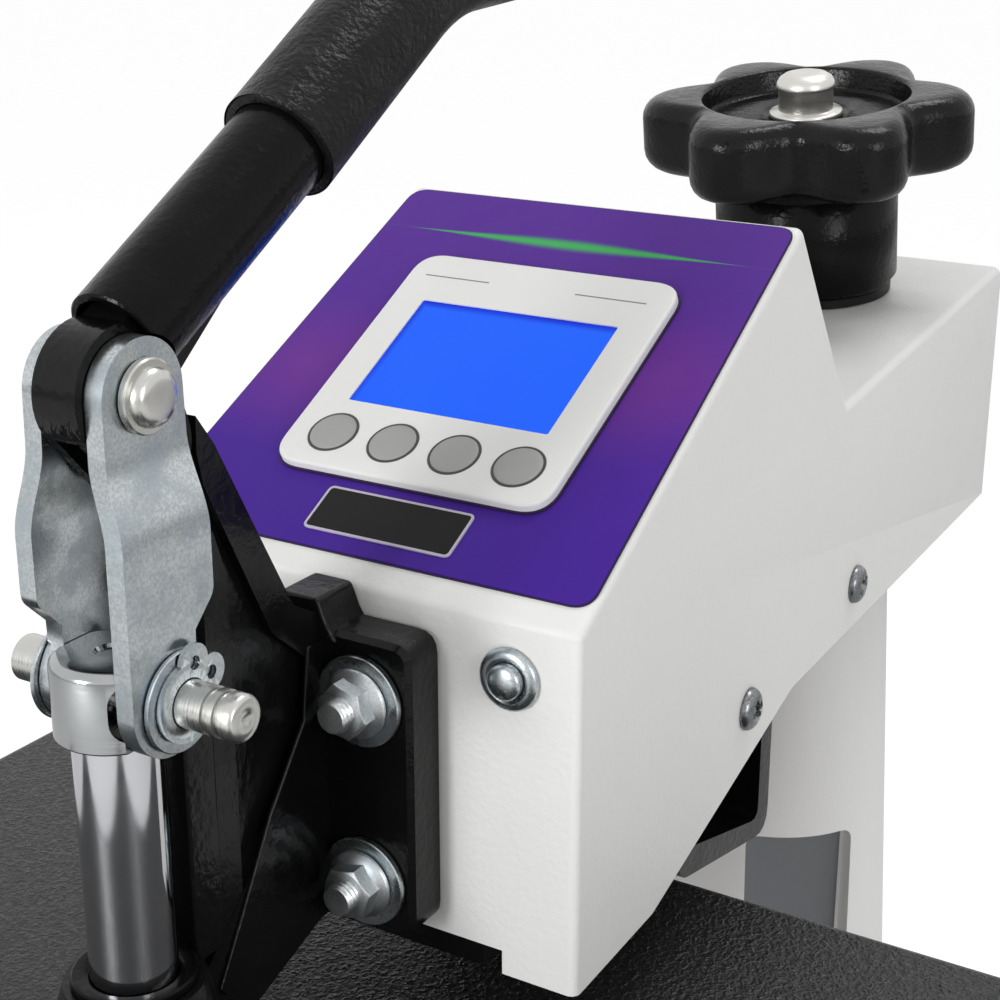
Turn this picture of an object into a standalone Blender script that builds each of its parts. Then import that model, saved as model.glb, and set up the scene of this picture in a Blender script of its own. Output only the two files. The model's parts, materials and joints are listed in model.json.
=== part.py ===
"""Swing-away heat press: base, pivoting head, toggle lever and heated platen.

Metres, +Z up, the operator stands at -Y. The origin lies on the bench, below
the middle of the base. The head swings about the upright, and the lever turns
about a pin in the front casting and pushes the platen down through two links.
"""
import math

import bmesh
import bpy
from mathutils import Matrix, Vector

MM = 0.001

# Clearances and mesh fineness
GAP = 0.3 * MM
OVERRUN = 4 * MM
FINE = 32
MEDIUM = 20
COARSE = 14
SHARP_ANGLE = 35.0
BEVEL_ANGLE = 40.0
STRAIGHT_ANGLE = 89.0

# Base
BASE_LENGTH = 700 * MM
BASE_WIDTH = 380 * MM
BAR_DEPTH = 60 * MM
BAR_HEIGHT = 40 * MM
SPINE_WIDTH = 150 * MM
FRAME_ROUND = 5 * MM
FOOT_RADIUS = 20 * MM
FOOT_HEIGHT = 18 * MM
FOOT_TAPER = 3 * MM
FOOT_INSET = 32 * MM

# Lower table
PEDESTAL_RADIUS = 44 * MM
PEDESTAL_FLARE = 22 * MM
PEDESTAL_HEIGHT = 100 * MM
PEDESTAL_FLANGE = 10 * MM
SPIDER_LENGTH = 330 * MM
SPIDER_WIDTH = 48 * MM
SPIDER_HEIGHT = 16 * MM
TABLE_SIZE = 381 * MM
TABLE_THICKNESS = 12 * MM
TABLE_CORNER = 14 * MM
TABLE_EDGE = 1.5 * MM
PAD_THICKNESS = 10 * MM
PAD_INSET = 2 * MM

# Upright
POST_SETBACK = 92.5 * MM
POST_RADIUS = 41.5 * MM
POST_FOOT_RADIUS = 56.5 * MM
POST_FLANGE_RADIUS = 72 * MM
POST_FLANGE_HEIGHT = 12 * MM
POST_FILLET = 9 * MM
PIVOT_RADIUS = 22 * MM
PIVOT_LENGTH = 62 * MM
PIVOT_RISE = 34 * MM
POST_POCKET_WIDTH = 45 * MM
POST_POCKET_DEPTH = 14 * MM
POST_POCKET_BELOW = 94.6 * MM
POST_POCKET_LENGTH = 120 * MM
POST_POCKET_ROUND = 5 * MM
POST_POCKET_TURN = 39.4
THRUST_THICKNESS = 3 * MM
REACH = 395.6 * MM

# Toggle linkage
CRANK = 18 * MM
CRANK_ANGLE = 120.0
LEVER_TRAVEL = 120.0
LAG_STEPS = 12
CLOSED_GAP = 0.4 * MM
LINK_BACK = 3.5 * MM
FULCRUM_RISE = 161.4 * MM
LINK_CENTRES = 71.3 * MM
LINK_THICKNESS = 5 * MM
LINK_TOP_RADIUS = 13 * MM
LINK_LOW_RADIUS = 12.8 * MM
LINK_FRONT = 15 * MM
LINK_REAR = 14 * MM
LINK_NECK = 7 * MM
LINK_NECK_RISE = 15 * MM
LINK_SPREAD = 11.5 * MM
LINK_BEND_LOW = 38 * MM
LINK_BEND_HIGH = 60 * MM
LINK_EYE_END = 405.0
LINK_EDGE = 0.5 * MM
LEVER_WIDTH = 12.5 * MM
LEVER_EYE = 12 * MM
LEVER_BOSS = 15.5 * MM
LEVER_WEB_ALONG = 37.5 * MM
LEVER_WEB_ACROSS = 15.5 * MM
LEVER_WEB_RADIUS = 3 * MM
LEVER_PLAY = 0.1 * MM
FULCRUM_RADIUS = 4 * MM
TOP_PIN_RADIUS = 5.5 * MM
TOP_PIN_HEAD = 6.8 * MM
TOP_PIN_RING = 8.6 * MM
TOP_PIN_RING_THICKNESS = 2 * MM
TOP_PIN_DOME = 3.2 * MM
TOP_PIN_DOME_SHARE = 0.6
CROSS_PIN_RADIUS = 5.75 * MM
CROSS_PIN_LEFT = 31.5 * MM
CROSS_PIN_RIGHT = 36.1 * MM
CROSS_PIN_CHAMFER = 1 * MM
CROSS_GROOVE_DEPTH = 0.7 * MM
CROSS_GROOVE_WIDTH = 1.2 * MM
CROSS_GROOVE_SETS = (4.2 * MM, 7.6 * MM)
CROSS_WASHER_RADIUS = 12.3 * MM
CROSS_WASHER_THICKNESS = 1.2 * MM
CLIP_THICKNESS = 1.4 * MM
CLIP_RADIUS = 9.6 * MM
CLIP_EAR_RADIUS = 4.6 * MM
CLIP_EAR_HOLE = 1.7 * MM
CLIP_EAR_OUT = 9.4 * MM
CLIP_EAR_ANGLE = 52.0
CLIP_EAR_SPREAD = 44.0

# Horn and slot between lever and casting
HORN_WEB = 6 * MM
HORN_EYE = 9.5 * MM
HORN_EYE_FROM = 292.0
HORN_EYE_TO = 70.0
SLOT_SIDE = 0.3 * MM
SLOT_INNER = 10 * MM
SLOT_OUTER = 17.5 * MM
SLOT_FROM = 164.0
SLOT_TO = 426.0
SLOT_MOUTH = 23 * MM
SLOT_MOUTH_TURN = 20.0

# Handle
TUBE_RADIUS = 12.5 * MM
TUBE_WALL = 2 * MM
TUBE_ANGLE = 30.2
TUBE_LENGTH = 68.5 * MM
TUBE_OFFSET = 23.8 * MM
TUBE_START = 10 * MM
TANG_LENGTH = 38 * MM
TANG_RADIUS = 7.4 * MM
GRIP_RADIUS = 15.2 * MM
GRIP_ANGLE = 31.7
GRIP_STRAIGHT = 56 * MM
GRIP_BEND_RADIUS = 70 * MM
GRIP_END_ANGLE = 4.0
GRIP_END = 78 * MM
GRIP_DOME = 9 * MM
GRIP_DOME_ANGLES = (30, 60, 80)
HANDLE_KINK_RADIUS = 90 * MM
TUBE_BORE_SHARE = 0.8

# Rod and collar
ROD_RADIUS = 10.8 * MM
ROD_FOOT_RADIUS = 27 * MM
ROD_FOOT_HEIGHT = 11 * MM
COLLAR_RADIUS = 14.5 * MM
COLLAR_HEIGHT = 20 * MM
COLLAR_CHAMFER = 2.2 * MM
PIN_PLAY = 0.35 * MM

# Heated platen
PLATE_SIZE = 381 * MM
PLATE_THICKNESS = 20 * MM
PLATE_CORNER = 12 * MM
PLATE_EDGE = 1.4 * MM
BOARD_INSET = 12.5 * MM
BOARD_THICKNESS = 12 * MM
SHROUD_SIDE_MARGIN = 12.5 * MM
SHROUD_END_MARGIN = 9.5 * MM
SHROUD_HEIGHT = 62 * MM
SHROUD_LAP = 12 * MM
SHROUD_WALL = 3 * MM
SHROUD_CORNER = 18 * MM
SHROUD_ROUND = 6 * MM
SHROUD_ROUND_SHARE = 0.3
SHROUD_PILLAR = 7 * MM
SHROUD_PILLAR_INSET = 60 * MM

# Head cover, seen from the side: lengths behind its front face, heights above its bottom edge
COVER_CLEARANCE = 26.5 * MM
COVER_STANDOFF = 85.6 * MM
COVER_WIDTH = 151 * MM
COVER_TAPER = 0.041
COVER_WALL = 1.6 * MM
COVER_TAIL = 75.4 * MM
COVER_BEND = 104.1 * MM
PANEL_SLOPE = 28.56
PANEL_LENGTH = 164.8 * MM
COVER_STEP_BACK = 195.8 * MM
COVER_STEP_HEIGHT = 114.3 * MM
COVER_REAR_HEIGHT = 127.2 * MM
COVER_REAR_BOTTOM = 27.8 * MM
COVER_RISE_BACK = 156.7 * MM
COVER_CHIN = 48.6 * MM
COVER_ROUND = 2.2 * MM
NOTCH_HALF = 52.6 * MM
NOTCH_HEIGHT = 7.2 * MM

# Control panel, lengths up the slope from the bend
OVERLAY_THICKNESS = 0.5 * MM
OVERLAY_LOW = 8.9 * MM
OVERLAY_MARGIN = 1.8 * MM
OVERLAY_TOP_MARGIN = 2.6 * MM
OVERLAY_ROUND = 6 * MM
BEZEL_CENTRE = 1.9 * MM
BEZEL_WIDTH = 91.2 * MM
BEZEL_LOW = 34.5 * MM
BEZEL_LENGTH = 93.8 * MM
BEZEL_THICKNESS = 3 * MM
BEZEL_ROUND = 9 * MM
BEZEL_EDGE = 0.8 * MM
LCD_WIDTH = 67.4 * MM
LCD_LOW = 61.1 * MM
LCD_LENGTH = 45.9 * MM
LCD_DEPTH = 1.6 * MM
LCD_THICKNESS = 1 * MM
KEY_RADIUS = 7.2 * MM
KEY_PITCH = 20.7 * MM
KEY_LOW = 47.7 * MM
KEY_CENTRE = 2.3 * MM
KEY_PROUD = 0.9 * MM
KEY_TRAVEL = 0.8 * MM
KEY_COUNT = 4
KEY_DOME_SHARES = ((1.0, 0.5), (0.9, 1.0), (0.5, 1.1))
WINDOW_WIDTH = 47 * MM
WINDOW_LENGTH = 15 * MM
WINDOW_LOW = 15.1 * MM
WINDOW_CENTRE = 4.2 * MM
WINDOW_THICKNESS = 0.8 * MM
WINDOW_ROUND = 1.5 * MM

# Front push button
BUTTON_ACROSS = 55.2 * MM
BUTTON_HEIGHT = 88.5 * MM
BUTTON_RING_RADIUS = 8.7 * MM
BUTTON_RING_THICKNESS = 2.6 * MM
BUTTON_BARREL_RADIUS = 6.6 * MM
BUTTON_BARREL_LENGTH = 16 * MM
BUTTON_RADIUS = 4.9 * MM
BUTTON_PROUD = 4 * MM
BUTTON_TRAVEL = 1.5 * MM
BUTTON_STEM = 8 * MM
BUTTON_DOME_SHARES = ((1.0, 1.0), (0.85, 1.25), (0.5, 1.4))
BUTTON_RING_SHARE = 0.6

# Arm casting
ARM_HALF_WIDTH = 45.6 * MM
ARM_BOTTOM = 1 * MM
ARM_TOP = 97 * MM
ARM_STEP_BACK = 119 * MM
ARM_STEP_RUN = 6 * MM
ARM_STEP_DROP = 36.6 * MM
ARM_REAR = 197.7 * MM
ARM_DROP = 51.8 * MM
ARM_CORNER = 9 * MM
ARM_RIM = 9 * MM
ARM_POCKET = 14 * MM
NECK_HALF_WIDTH = 34 * MM
SLEEVE_RADIUS = 43 * MM
SLEEVE_TOP = 108 * MM
SLEEVE_ROOF = 7 * MM
LUG_RADIUS = 7 * MM
LUG_PLACES = ((116.6 * MM, 36.6 * MM), (215.5 * MM, 44 * MM))

# Front casting
FLANGE_HALF_WIDTH = 34 * MM
FLANGE_THICKNESS = 14.6 * MM
FLANGE_BOTTOM = 12 * MM
FLANGE_TOP = 97.1 * MM
FLANGE_ROUND = 6 * MM
FLANGE_EDGE = 1.5 * MM
STUD_ACROSS = 19 * MM
STUD_LOW = 26.6 * MM
STUD_HIGH = 79.7 * MM
WASHER_RADIUS = 12.7 * MM
WASHER_BORE = 5.2 * MM
WASHER_THICKNESS = 2 * MM
NUT_ACROSS_FLATS = 14.3 * MM
NUT_HEIGHT = 7.6 * MM
NUT_FLANGE_RADIUS = 9.6 * MM
NUT_FLANGE_HEIGHT = 1.5 * MM
STUD_RADIUS = 4.75 * MM
STUD_PROUD = 4 * MM
NUT_CHAMFER_SHARE = 0.9
NUT_NECK_SHARE = 0.8
STUD_TIP_SHARE = 0.8
RIB_HALF = 6 * MM
RIB_FRONT = 26 * MM
RIB_DEPTH = 9 * MM
RIB_SHOULDER_BELOW = 38 * MM
RIB_TIP_BELOW = 24.7 * MM
RIM_START_BACK = 14 * MM
RIM_START_RISE = 4.3 * MM
HORN_SHOULDER_BACK = 32.5 * MM
HORN_SHOULDER_RISE = 157.5 * MM
HORN_ROOT_BACK = 60 * MM
HORN_ROOT_RISE = 107 * MM
HORN_RIM = 9 * MM
GUSSET_HIGH = 78 * MM
GUSSET_LOW = 20 * MM
GUIDE_RADIUS = 22 * MM
GUIDE_TOP_RADIUS = 17.5 * MM
GUIDE_TOP = 29 * MM
GUIDE_SHOULDER = 14 * MM
GUIDE_BOTTOM = 10 * MM
BUSH_RADIUS = 14 * MM
BUSH_PROUD = 2.4 * MM
BUSH_RIM_RADIUS = 15.6 * MM

# Pressure knob, heights along its tilted axis below the rim's top
KNOB_RADIUS = 63.2 * MM
KNOB_VALLEY = 47.5 * MM
KNOB_LOBES = 6
KNOB_PHASE = 18.4
KNOB_TILT = math.radians(8.2)
KNOB_HEIGHT = 28.5 * MM
KNOB_ROUND = 5.9 * MM
KNOB_OPENING = 41 * MM
KNOB_DISH = 7.5 * MM
KNOB_DISH_SLOPE = 4 * MM
KNOB_HUB_TOP = 21 * MM
KNOB_HUB_RISE = 2.5 * MM
KNOB_BARREL = 35.4 * MM
KNOB_TOP_RISE = 200.9 * MM
KNOB_SETBACK = -1.1 * MM
LOBE_FULL_SHARE = 0.18
LOBE_STEPS = 8
KNOB_UNDER_SHARE = 1.4
KNOB_EDGE_SHARE = 0.35
KNOB_LIP = 1.6 * MM
KNOB_RING_RADIUS = 33 * MM
KNOB_RING_HEIGHT = 4 * MM
KNOB_RING_BORE = 12 * MM
SPINDLE_RADIUS = 9 * MM
CAP_RADIUS = 10.8 * MM
CAP_HEIGHT = 15 * MM
CAP_WASHER_RADIUS = 14.2 * MM
CAP_WASHER_HEIGHT = 2 * MM
CAP_DOME_SHARES = ((1.0, 0.8), (0.9, 0.93), (0.6, 1.0))

# Rear wall fittings
SWITCH_ACROSS = 26 * MM
SWITCH_WIDTH = 24 * MM
SWITCH_HEIGHT = 32 * MM
SWITCH_DEPTH = 18 * MM
SWITCH_LIP = 2 * MM
SWITCH_WALL = 2.4 * MM
SWITCH_RISE = 84 * MM
ROCKER_TILT = 7.0
ROCKER_PROUD = 3.5 * MM
ROCKER_DEPTH = 6 * MM
INLET_WIDTH = 32 * MM
INLET_HEIGHT = 25 * MM
INLET_DEPTH = 22 * MM
INLET_WALL = 3 * MM
INLET_POCKET = 16 * MM
FITTING_ROUND = 2 * MM

# Places that follow from the sizes
ROD_Y = BASE_LENGTH / 2 - POST_SETBACK - REACH
POST_Y = ROD_Y + REACH
FRAME_BOTTOM = FOOT_HEIGHT + GAP
FRAME_TOP = FRAME_BOTTOM + BAR_HEIGHT
SPIDER_BOTTOM = FRAME_TOP + GAP + PEDESTAL_HEIGHT + GAP
TABLE_BOTTOM = SPIDER_BOTTOM + SPIDER_HEIGHT + GAP
PAD_BOTTOM = TABLE_BOTTOM + TABLE_THICKNESS + GAP
PAD_TOP = PAD_BOTTOM + PAD_THICKNESS
STROKE = 2 * CRANK * math.sin(math.radians(LEVER_TRAVEL / 2))
PLATE_BOTTOM = PAD_TOP + CLOSED_GAP + STROKE
PLATE_TOP = PLATE_BOTTOM + PLATE_THICKNESS
BOARD_SIZE = PLATE_SIZE - 2 * BOARD_INSET
BOARD_TOP = PLATE_TOP + GAP + BOARD_THICKNESS
SHROUD_WIDTH = PLATE_SIZE + 2 * SHROUD_SIDE_MARGIN
SHROUD_DEPTH = PLATE_SIZE + 2 * SHROUD_END_MARGIN
SHROUD_TOP = PLATE_TOP - SHROUD_LAP + SHROUD_HEIGHT
HEAD_Z = SHROUD_TOP + COVER_CLEARANCE
HEAD_Y = ROD_Y + COVER_STANDOFF
COVER_LENGTH = REACH - COVER_STANDOFF + COVER_TAIL
FULCRUM = Vector((0, ROD_Y + LINK_BACK + CRANK / 2, HEAD_Z + FULCRUM_RISE))
CRANK_TURN = math.radians(CRANK_ANGLE)
TOP_PIN = FULCRUM + CRANK * Vector((0, math.cos(CRANK_TURN), math.sin(CRANK_TURN)))
CROSS_PIN = TOP_PIN - Vector((0, 0, LINK_CENTRES))
LEVER_HALF = LEVER_WIDTH / 2
SWING = Vector((0, POST_Y, HEAD_Z + PIVOT_RISE))
LINK_TOP_INNER = LEVER_HALF + GAP
PANEL_ANGLE = math.radians(PANEL_SLOPE)
PANEL_BACK = PANEL_LENGTH * math.cos(PANEL_ANGLE)
PANEL_TOP = COVER_BEND + PANEL_LENGTH * math.sin(PANEL_ANGLE)
FLAT_SLOPE = math.atan((COVER_REAR_HEIGHT - COVER_STEP_HEIGHT) / (COVER_LENGTH - COVER_STEP_BACK))
KNOB_TOP = Vector((0, POST_Y + KNOB_SETBACK, HEAD_Z + KNOB_TOP_RISE))


def polar(radius, degrees):
    """A point in the plane, from its radius and angle."""
    return radius * math.cos(math.radians(degrees)), radius * math.sin(math.radians(degrees))


def arc(centre, radius, first, last, steps):
    """Points along an arc, from one angle to another."""
    points = []
    for step in range(steps + 1):
        across, up = polar(radius, first + (last - first) * step / steps)
        points.append((centre[0] + across, centre[1] + up))
    return points


def rounded(points, radii, steps=4):
    """A polygon whose corners are arcs; radii is one value or one for each corner."""
    count = len(points)
    if not isinstance(radii, (list, tuple)):
        radii = [radii] * count
    outline = []
    for index, corner in enumerate(points):
        here = Vector(corner)
        before = (Vector(points[index - 1]) - here)
        after = (Vector(points[(index + 1) % count]) - here)
        radius = radii[index]
        half = before.angle(after) / 2
        if radius <= 0 or half > math.radians(STRAIGHT_ANGLE):
            outline.append(tuple(here))
            continue
        cut = min(radius / math.tan(half), before.length / 2, after.length / 2)
        start = here + before.normalized() * cut
        end = here + after.normalized() * cut
        for step in range(steps + 1):
            share = step / steps
            first = start.lerp(here, share)
            second = here.lerp(end, share)
            outline.append(tuple(first.lerp(second, share)))
    return outline


def material(name, colour, roughness, metallic=0.0, glow=0.0):
    """A Principled material, made once."""
    found = bpy.data.materials.get(name)
    if found:
        return found
    made = bpy.data.materials.new(name)
    made.use_nodes = True
    shader = made.node_tree.nodes["Principled BSDF"]
    shader.inputs["Base Color"].default_value = (*colour, 1.0)
    shader.inputs["Roughness"].default_value = roughness
    shader.inputs["Metallic"].default_value = metallic
    if glow:
        shader.inputs["Emission Color"].default_value = (*colour, 1.0)
        shader.inputs["Emission Strength"].default_value = glow
    return made


def pivot(name, place):
    """An empty that a moving group hangs on, placed on its joint's axis."""
    empty = bpy.data.objects.new(name, None)
    empty.location = place
    bpy.context.scene.collection.objects.link(empty)
    return empty


def add(name, bm, look, carrier=None):
    """Turns a bmesh in world coordinates into an object, its origin on its carrier."""
    bmesh.ops.recalc_face_normals(bm, faces=bm.faces)
    origin = carrier.location.copy() if carrier else Vector((0, 0, 0))
    bmesh.ops.translate(bm, verts=bm.verts, vec=-origin)
    mesh = bpy.data.meshes.new(name)
    bm.to_mesh(mesh)
    bm.free()
    mesh.materials.append(look)
    mesh.shade_smooth()
    mesh.set_sharp_from_angle(angle=math.radians(SHARP_ANGLE))
    made = bpy.data.objects.new(name, mesh)
    bpy.context.scene.collection.objects.link(made)
    if carrier:
        made.parent = carrier
    return made


def tool(name, bm):
    """A cutter or a piece to be fused, which isn't a sub-part by itself."""
    made = add(name, bm, material("guide", (0.5, 0.5, 0.5), 0.5))
    made.hide_render = True
    made.display_type = "WIRE"
    return made


def boolean(target, bm, operation):
    """Cuts or fuses one shape with another."""
    guide = tool(target.name + "_" + operation.lower(), bm)
    change = target.modifiers.new(operation.title(), "BOOLEAN")
    change.operation = operation
    change.solver = "EXACT"
    change.object = guide


def cut(target, bm):
    """Takes a shape away from a piece."""
    boolean(target, bm, "DIFFERENCE")


def fuse(target, bm):
    """Adds a shape to a piece, as one casting."""
    boolean(target, bm, "UNION")


def soften(target, width, segments=1):
    """Rounds the sharp edges of a piece."""
    change = target.modifiers.new("Bevel", "BEVEL")
    change.width = width
    change.segments = segments
    change.limit_method = "ANGLE"
    change.angle_limit = math.radians(BEVEL_ANGLE)
    return target


def prism(points, low, high, axis="X"):
    """A flat outline pushed out along an axis; points are (Y, Z), (X, Z) or (X, Y)."""
    def place(point, along):
        first, second = point
        if axis == "X":
            return along, first, second
        if axis == "Y":
            return first, along, second
        return first, second, along
    bm = bmesh.new()
    bottom = [bm.verts.new(place(point, low)) for point in points]
    top = [bm.verts.new(place(point, high)) for point in points]
    bm.faces.new(bottom)
    bm.faces.new(list(reversed(top)))
    count = len(points)
    for index in range(count):
        following = (index + 1) % count
        bm.faces.new((bottom[index], top[index], top[following], bottom[following]))
    return bm


def block(low, high):
    """A box between two corners."""
    outline = [(low[0], low[1]), (high[0], low[1]), (high[0], high[1]), (low[0], high[1])]
    return prism(outline, low[2], high[2], "Z")


def slab(centre, size, low, high, corner, steps=4):
    """A plate lying flat, with rounded corners; centre and size are (X, Y)."""
    across = size[0] / 2
    deep = size[1] / 2
    outline = [(centre[0] - across, centre[1] - deep), (centre[0] + across, centre[1] - deep),
               (centre[0] + across, centre[1] + deep), (centre[0] - across, centre[1] + deep)]
    return prism(rounded(outline, corner, steps), low, high, "Z")


def skin(rings, closed=False):
    """Faces between rings of points; the first and last rings get caps, or meet if closed."""
    bm = bmesh.new()
    rows = [[bm.verts.new(point) for point in ring] for ring in rings]
    pairs = list(zip(rows, rows[1:]))
    if closed:
        pairs.append((rows[-1], rows[0]))
    else:
        bm.faces.new(list(reversed(rows[0])))
        bm.faces.new(rows[-1])
    for lower, upper in pairs:
        count = len(lower)
        for index in range(count):
            following = (index + 1) % count
            bm.faces.new((lower[index], lower[following], upper[following], upper[index]))
    return bm


def turned(profile, steps=MEDIUM, closed=False):
    """A shape turned about Z, from (radius, height) points; closed makes it a ring."""
    rings = []
    for radius, height in profile:
        rings.append([(*polar(radius, 360 * step / steps), height) for step in range(steps)])
    return skin(rings, closed)


def moved(bm, matrix):
    """The same shape, placed by a matrix."""
    bmesh.ops.transform(bm, matrix=matrix, verts=bm.verts)
    return bm


def at(place, turn=None):
    """A matrix that turns and then moves."""
    return Matrix.Translation(place) @ (turn or Matrix.Identity(4))


LAY_ALONG_X = Matrix.Rotation(math.radians(90), 4, "Y")
FACE_FRONT = Matrix.Rotation(math.radians(90), 4, "X")
FACE_REAR = Matrix.Rotation(math.radians(-90), 4, "X")


def cross_rod(place, radius, low, high, steps=MEDIUM):
    """A round bar along X through a place."""
    return moved(turned([(radius, low), (radius, high)], steps), at(place, LAY_ALONG_X))


def head(back, rise, across=0):
    """A place on the head, behind the cover's front face and above its bottom edge."""
    return Vector((across, HEAD_Y + back, HEAD_Z + rise))


def on_panel():
    """Turns (X, up the slope, off the face) into world coordinates."""
    return at(head(0, COVER_BEND), Matrix.Rotation(PANEL_ANGLE, 4, "X"))


def make_base(look, foot_look, table_look, pad_look):
    """Frame, feet, pedestal, table and its pad."""
    half = BASE_LENGTH / 2
    inner = half - BAR_DEPTH
    spine = [(-SPINE_WIDTH / 2, FRAME_BOTTOM), (SPINE_WIDTH / 2, FRAME_BOTTOM),
             (SPINE_WIDTH / 2, FRAME_TOP), (-SPINE_WIDTH / 2, FRAME_TOP)]
    add("base_spine", prism(rounded(spine, FRAME_ROUND, 3), GAP - inner, inner - GAP, "Y"), look)
    for name, centre in (("base_bar_front", BAR_DEPTH / 2 - half), ("base_bar_rear", half - BAR_DEPTH / 2)):
        bar = slab((0, centre), (BASE_WIDTH, BAR_DEPTH), FRAME_BOTTOM, FRAME_TOP, FRAME_ROUND, 3)
        soften(add(name, bar, look), FRAME_ROUND / 2, 2)
    for side, across in (("left", -1), ("right", 1)):
        for end, along in (("front", -1), ("rear", 1)):
            profile = [(FOOT_RADIUS - FOOT_TAPER, 0), (FOOT_RADIUS, FOOT_TAPER), (FOOT_RADIUS, FOOT_HEIGHT)]
            place = Vector((across * (BASE_WIDTH / 2 - FOOT_INSET), along * (half - FOOT_INSET), 0))
            add("foot_" + end + "_" + side, moved(turned(profile, COARSE), at(place)), foot_look)
    bottom = FRAME_TOP + GAP
    top = bottom + PEDESTAL_HEIGHT
    wide = PEDESTAL_RADIUS + PEDESTAL_FLARE
    profile = [(wide, bottom), (wide, bottom + PEDESTAL_FLANGE), (PEDESTAL_RADIUS, bottom + 2 * PEDESTAL_FLANGE),
               (PEDESTAL_RADIUS, top - 2 * PEDESTAL_FLANGE), (wide, top - PEDESTAL_FLANGE), (wide, top)]
    add("pedestal", moved(turned(profile, MEDIUM), at(Vector((0, ROD_Y, 0)))), look)
    spider = slab((0, ROD_Y), (SPIDER_LENGTH, SPIDER_WIDTH), SPIDER_BOTTOM, TABLE_BOTTOM - GAP, FRAME_ROUND, 3)
    spider = add("table_spider", spider, look)
    fuse(spider, slab((0, ROD_Y), (SPIDER_WIDTH, SPIDER_LENGTH), SPIDER_BOTTOM, TABLE_BOTTOM - GAP, FRAME_ROUND, 3))
    table = slab((0, ROD_Y), (TABLE_SIZE, TABLE_SIZE), TABLE_BOTTOM, PAD_BOTTOM - GAP, TABLE_CORNER)
    soften(add("lower_table", table, table_look), TABLE_EDGE)
    pad_size = TABLE_SIZE - 2 * PAD_INSET
    add("silicone_pad", slab((0, ROD_Y), (pad_size, pad_size), PAD_BOTTOM, PAD_TOP, TABLE_CORNER), pad_look)


def make_post(look, steel):
    """The upright, its pivot and the thrust ring that the head turns on."""
    shoulder = HEAD_Z + PIVOT_RISE
    foot = FRAME_TOP + GAP
    fillet = arc((POST_FOOT_RADIUS + POST_FILLET, foot + POST_FLANGE_HEIGHT + POST_FILLET), POST_FILLET, 270, 180, 4)
    profile = [(POST_FLANGE_RADIUS, foot), (POST_FLANGE_RADIUS, foot + POST_FLANGE_HEIGHT), *fillet,
               (POST_RADIUS, shoulder), (PIVOT_RADIUS, shoulder), (PIVOT_RADIUS, shoulder + PIVOT_LENGTH)]
    post = add("upright_post", moved(turned(profile, FINE), at(Vector((0, POST_Y, 0)))), look)
    top = HEAD_Z - POST_POCKET_BELOW
    half = POST_POCKET_WIDTH / 2
    face = [(-half, top - POST_POCKET_LENGTH), (half, top - POST_POCKET_LENGTH), (half, top), (-half, top)]
    floor = POST_POCKET_DEPTH - (POST_RADIUS + POST_FOOT_RADIUS) / 2
    pocket = prism(rounded(face, POST_POCKET_ROUND, 3), floor, -2 * POST_FOOT_RADIUS, "Y")
    turn = Matrix.Rotation(math.radians(POST_POCKET_TURN), 4, "Z")
    cut(post, moved(pocket, at(Vector((0, POST_Y, 0)), turn)))
    low = shoulder + GAP
    high = low + THRUST_THICKNESS
    inner = PIVOT_RADIUS + GAP
    ring = [(inner, low), (POST_RADIUS, low), (POST_RADIUS, high), (inner, high)]
    add("thrust_ring", moved(turned(ring, MEDIUM, True), at(Vector((0, POST_Y, 0)))), steel)


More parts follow.
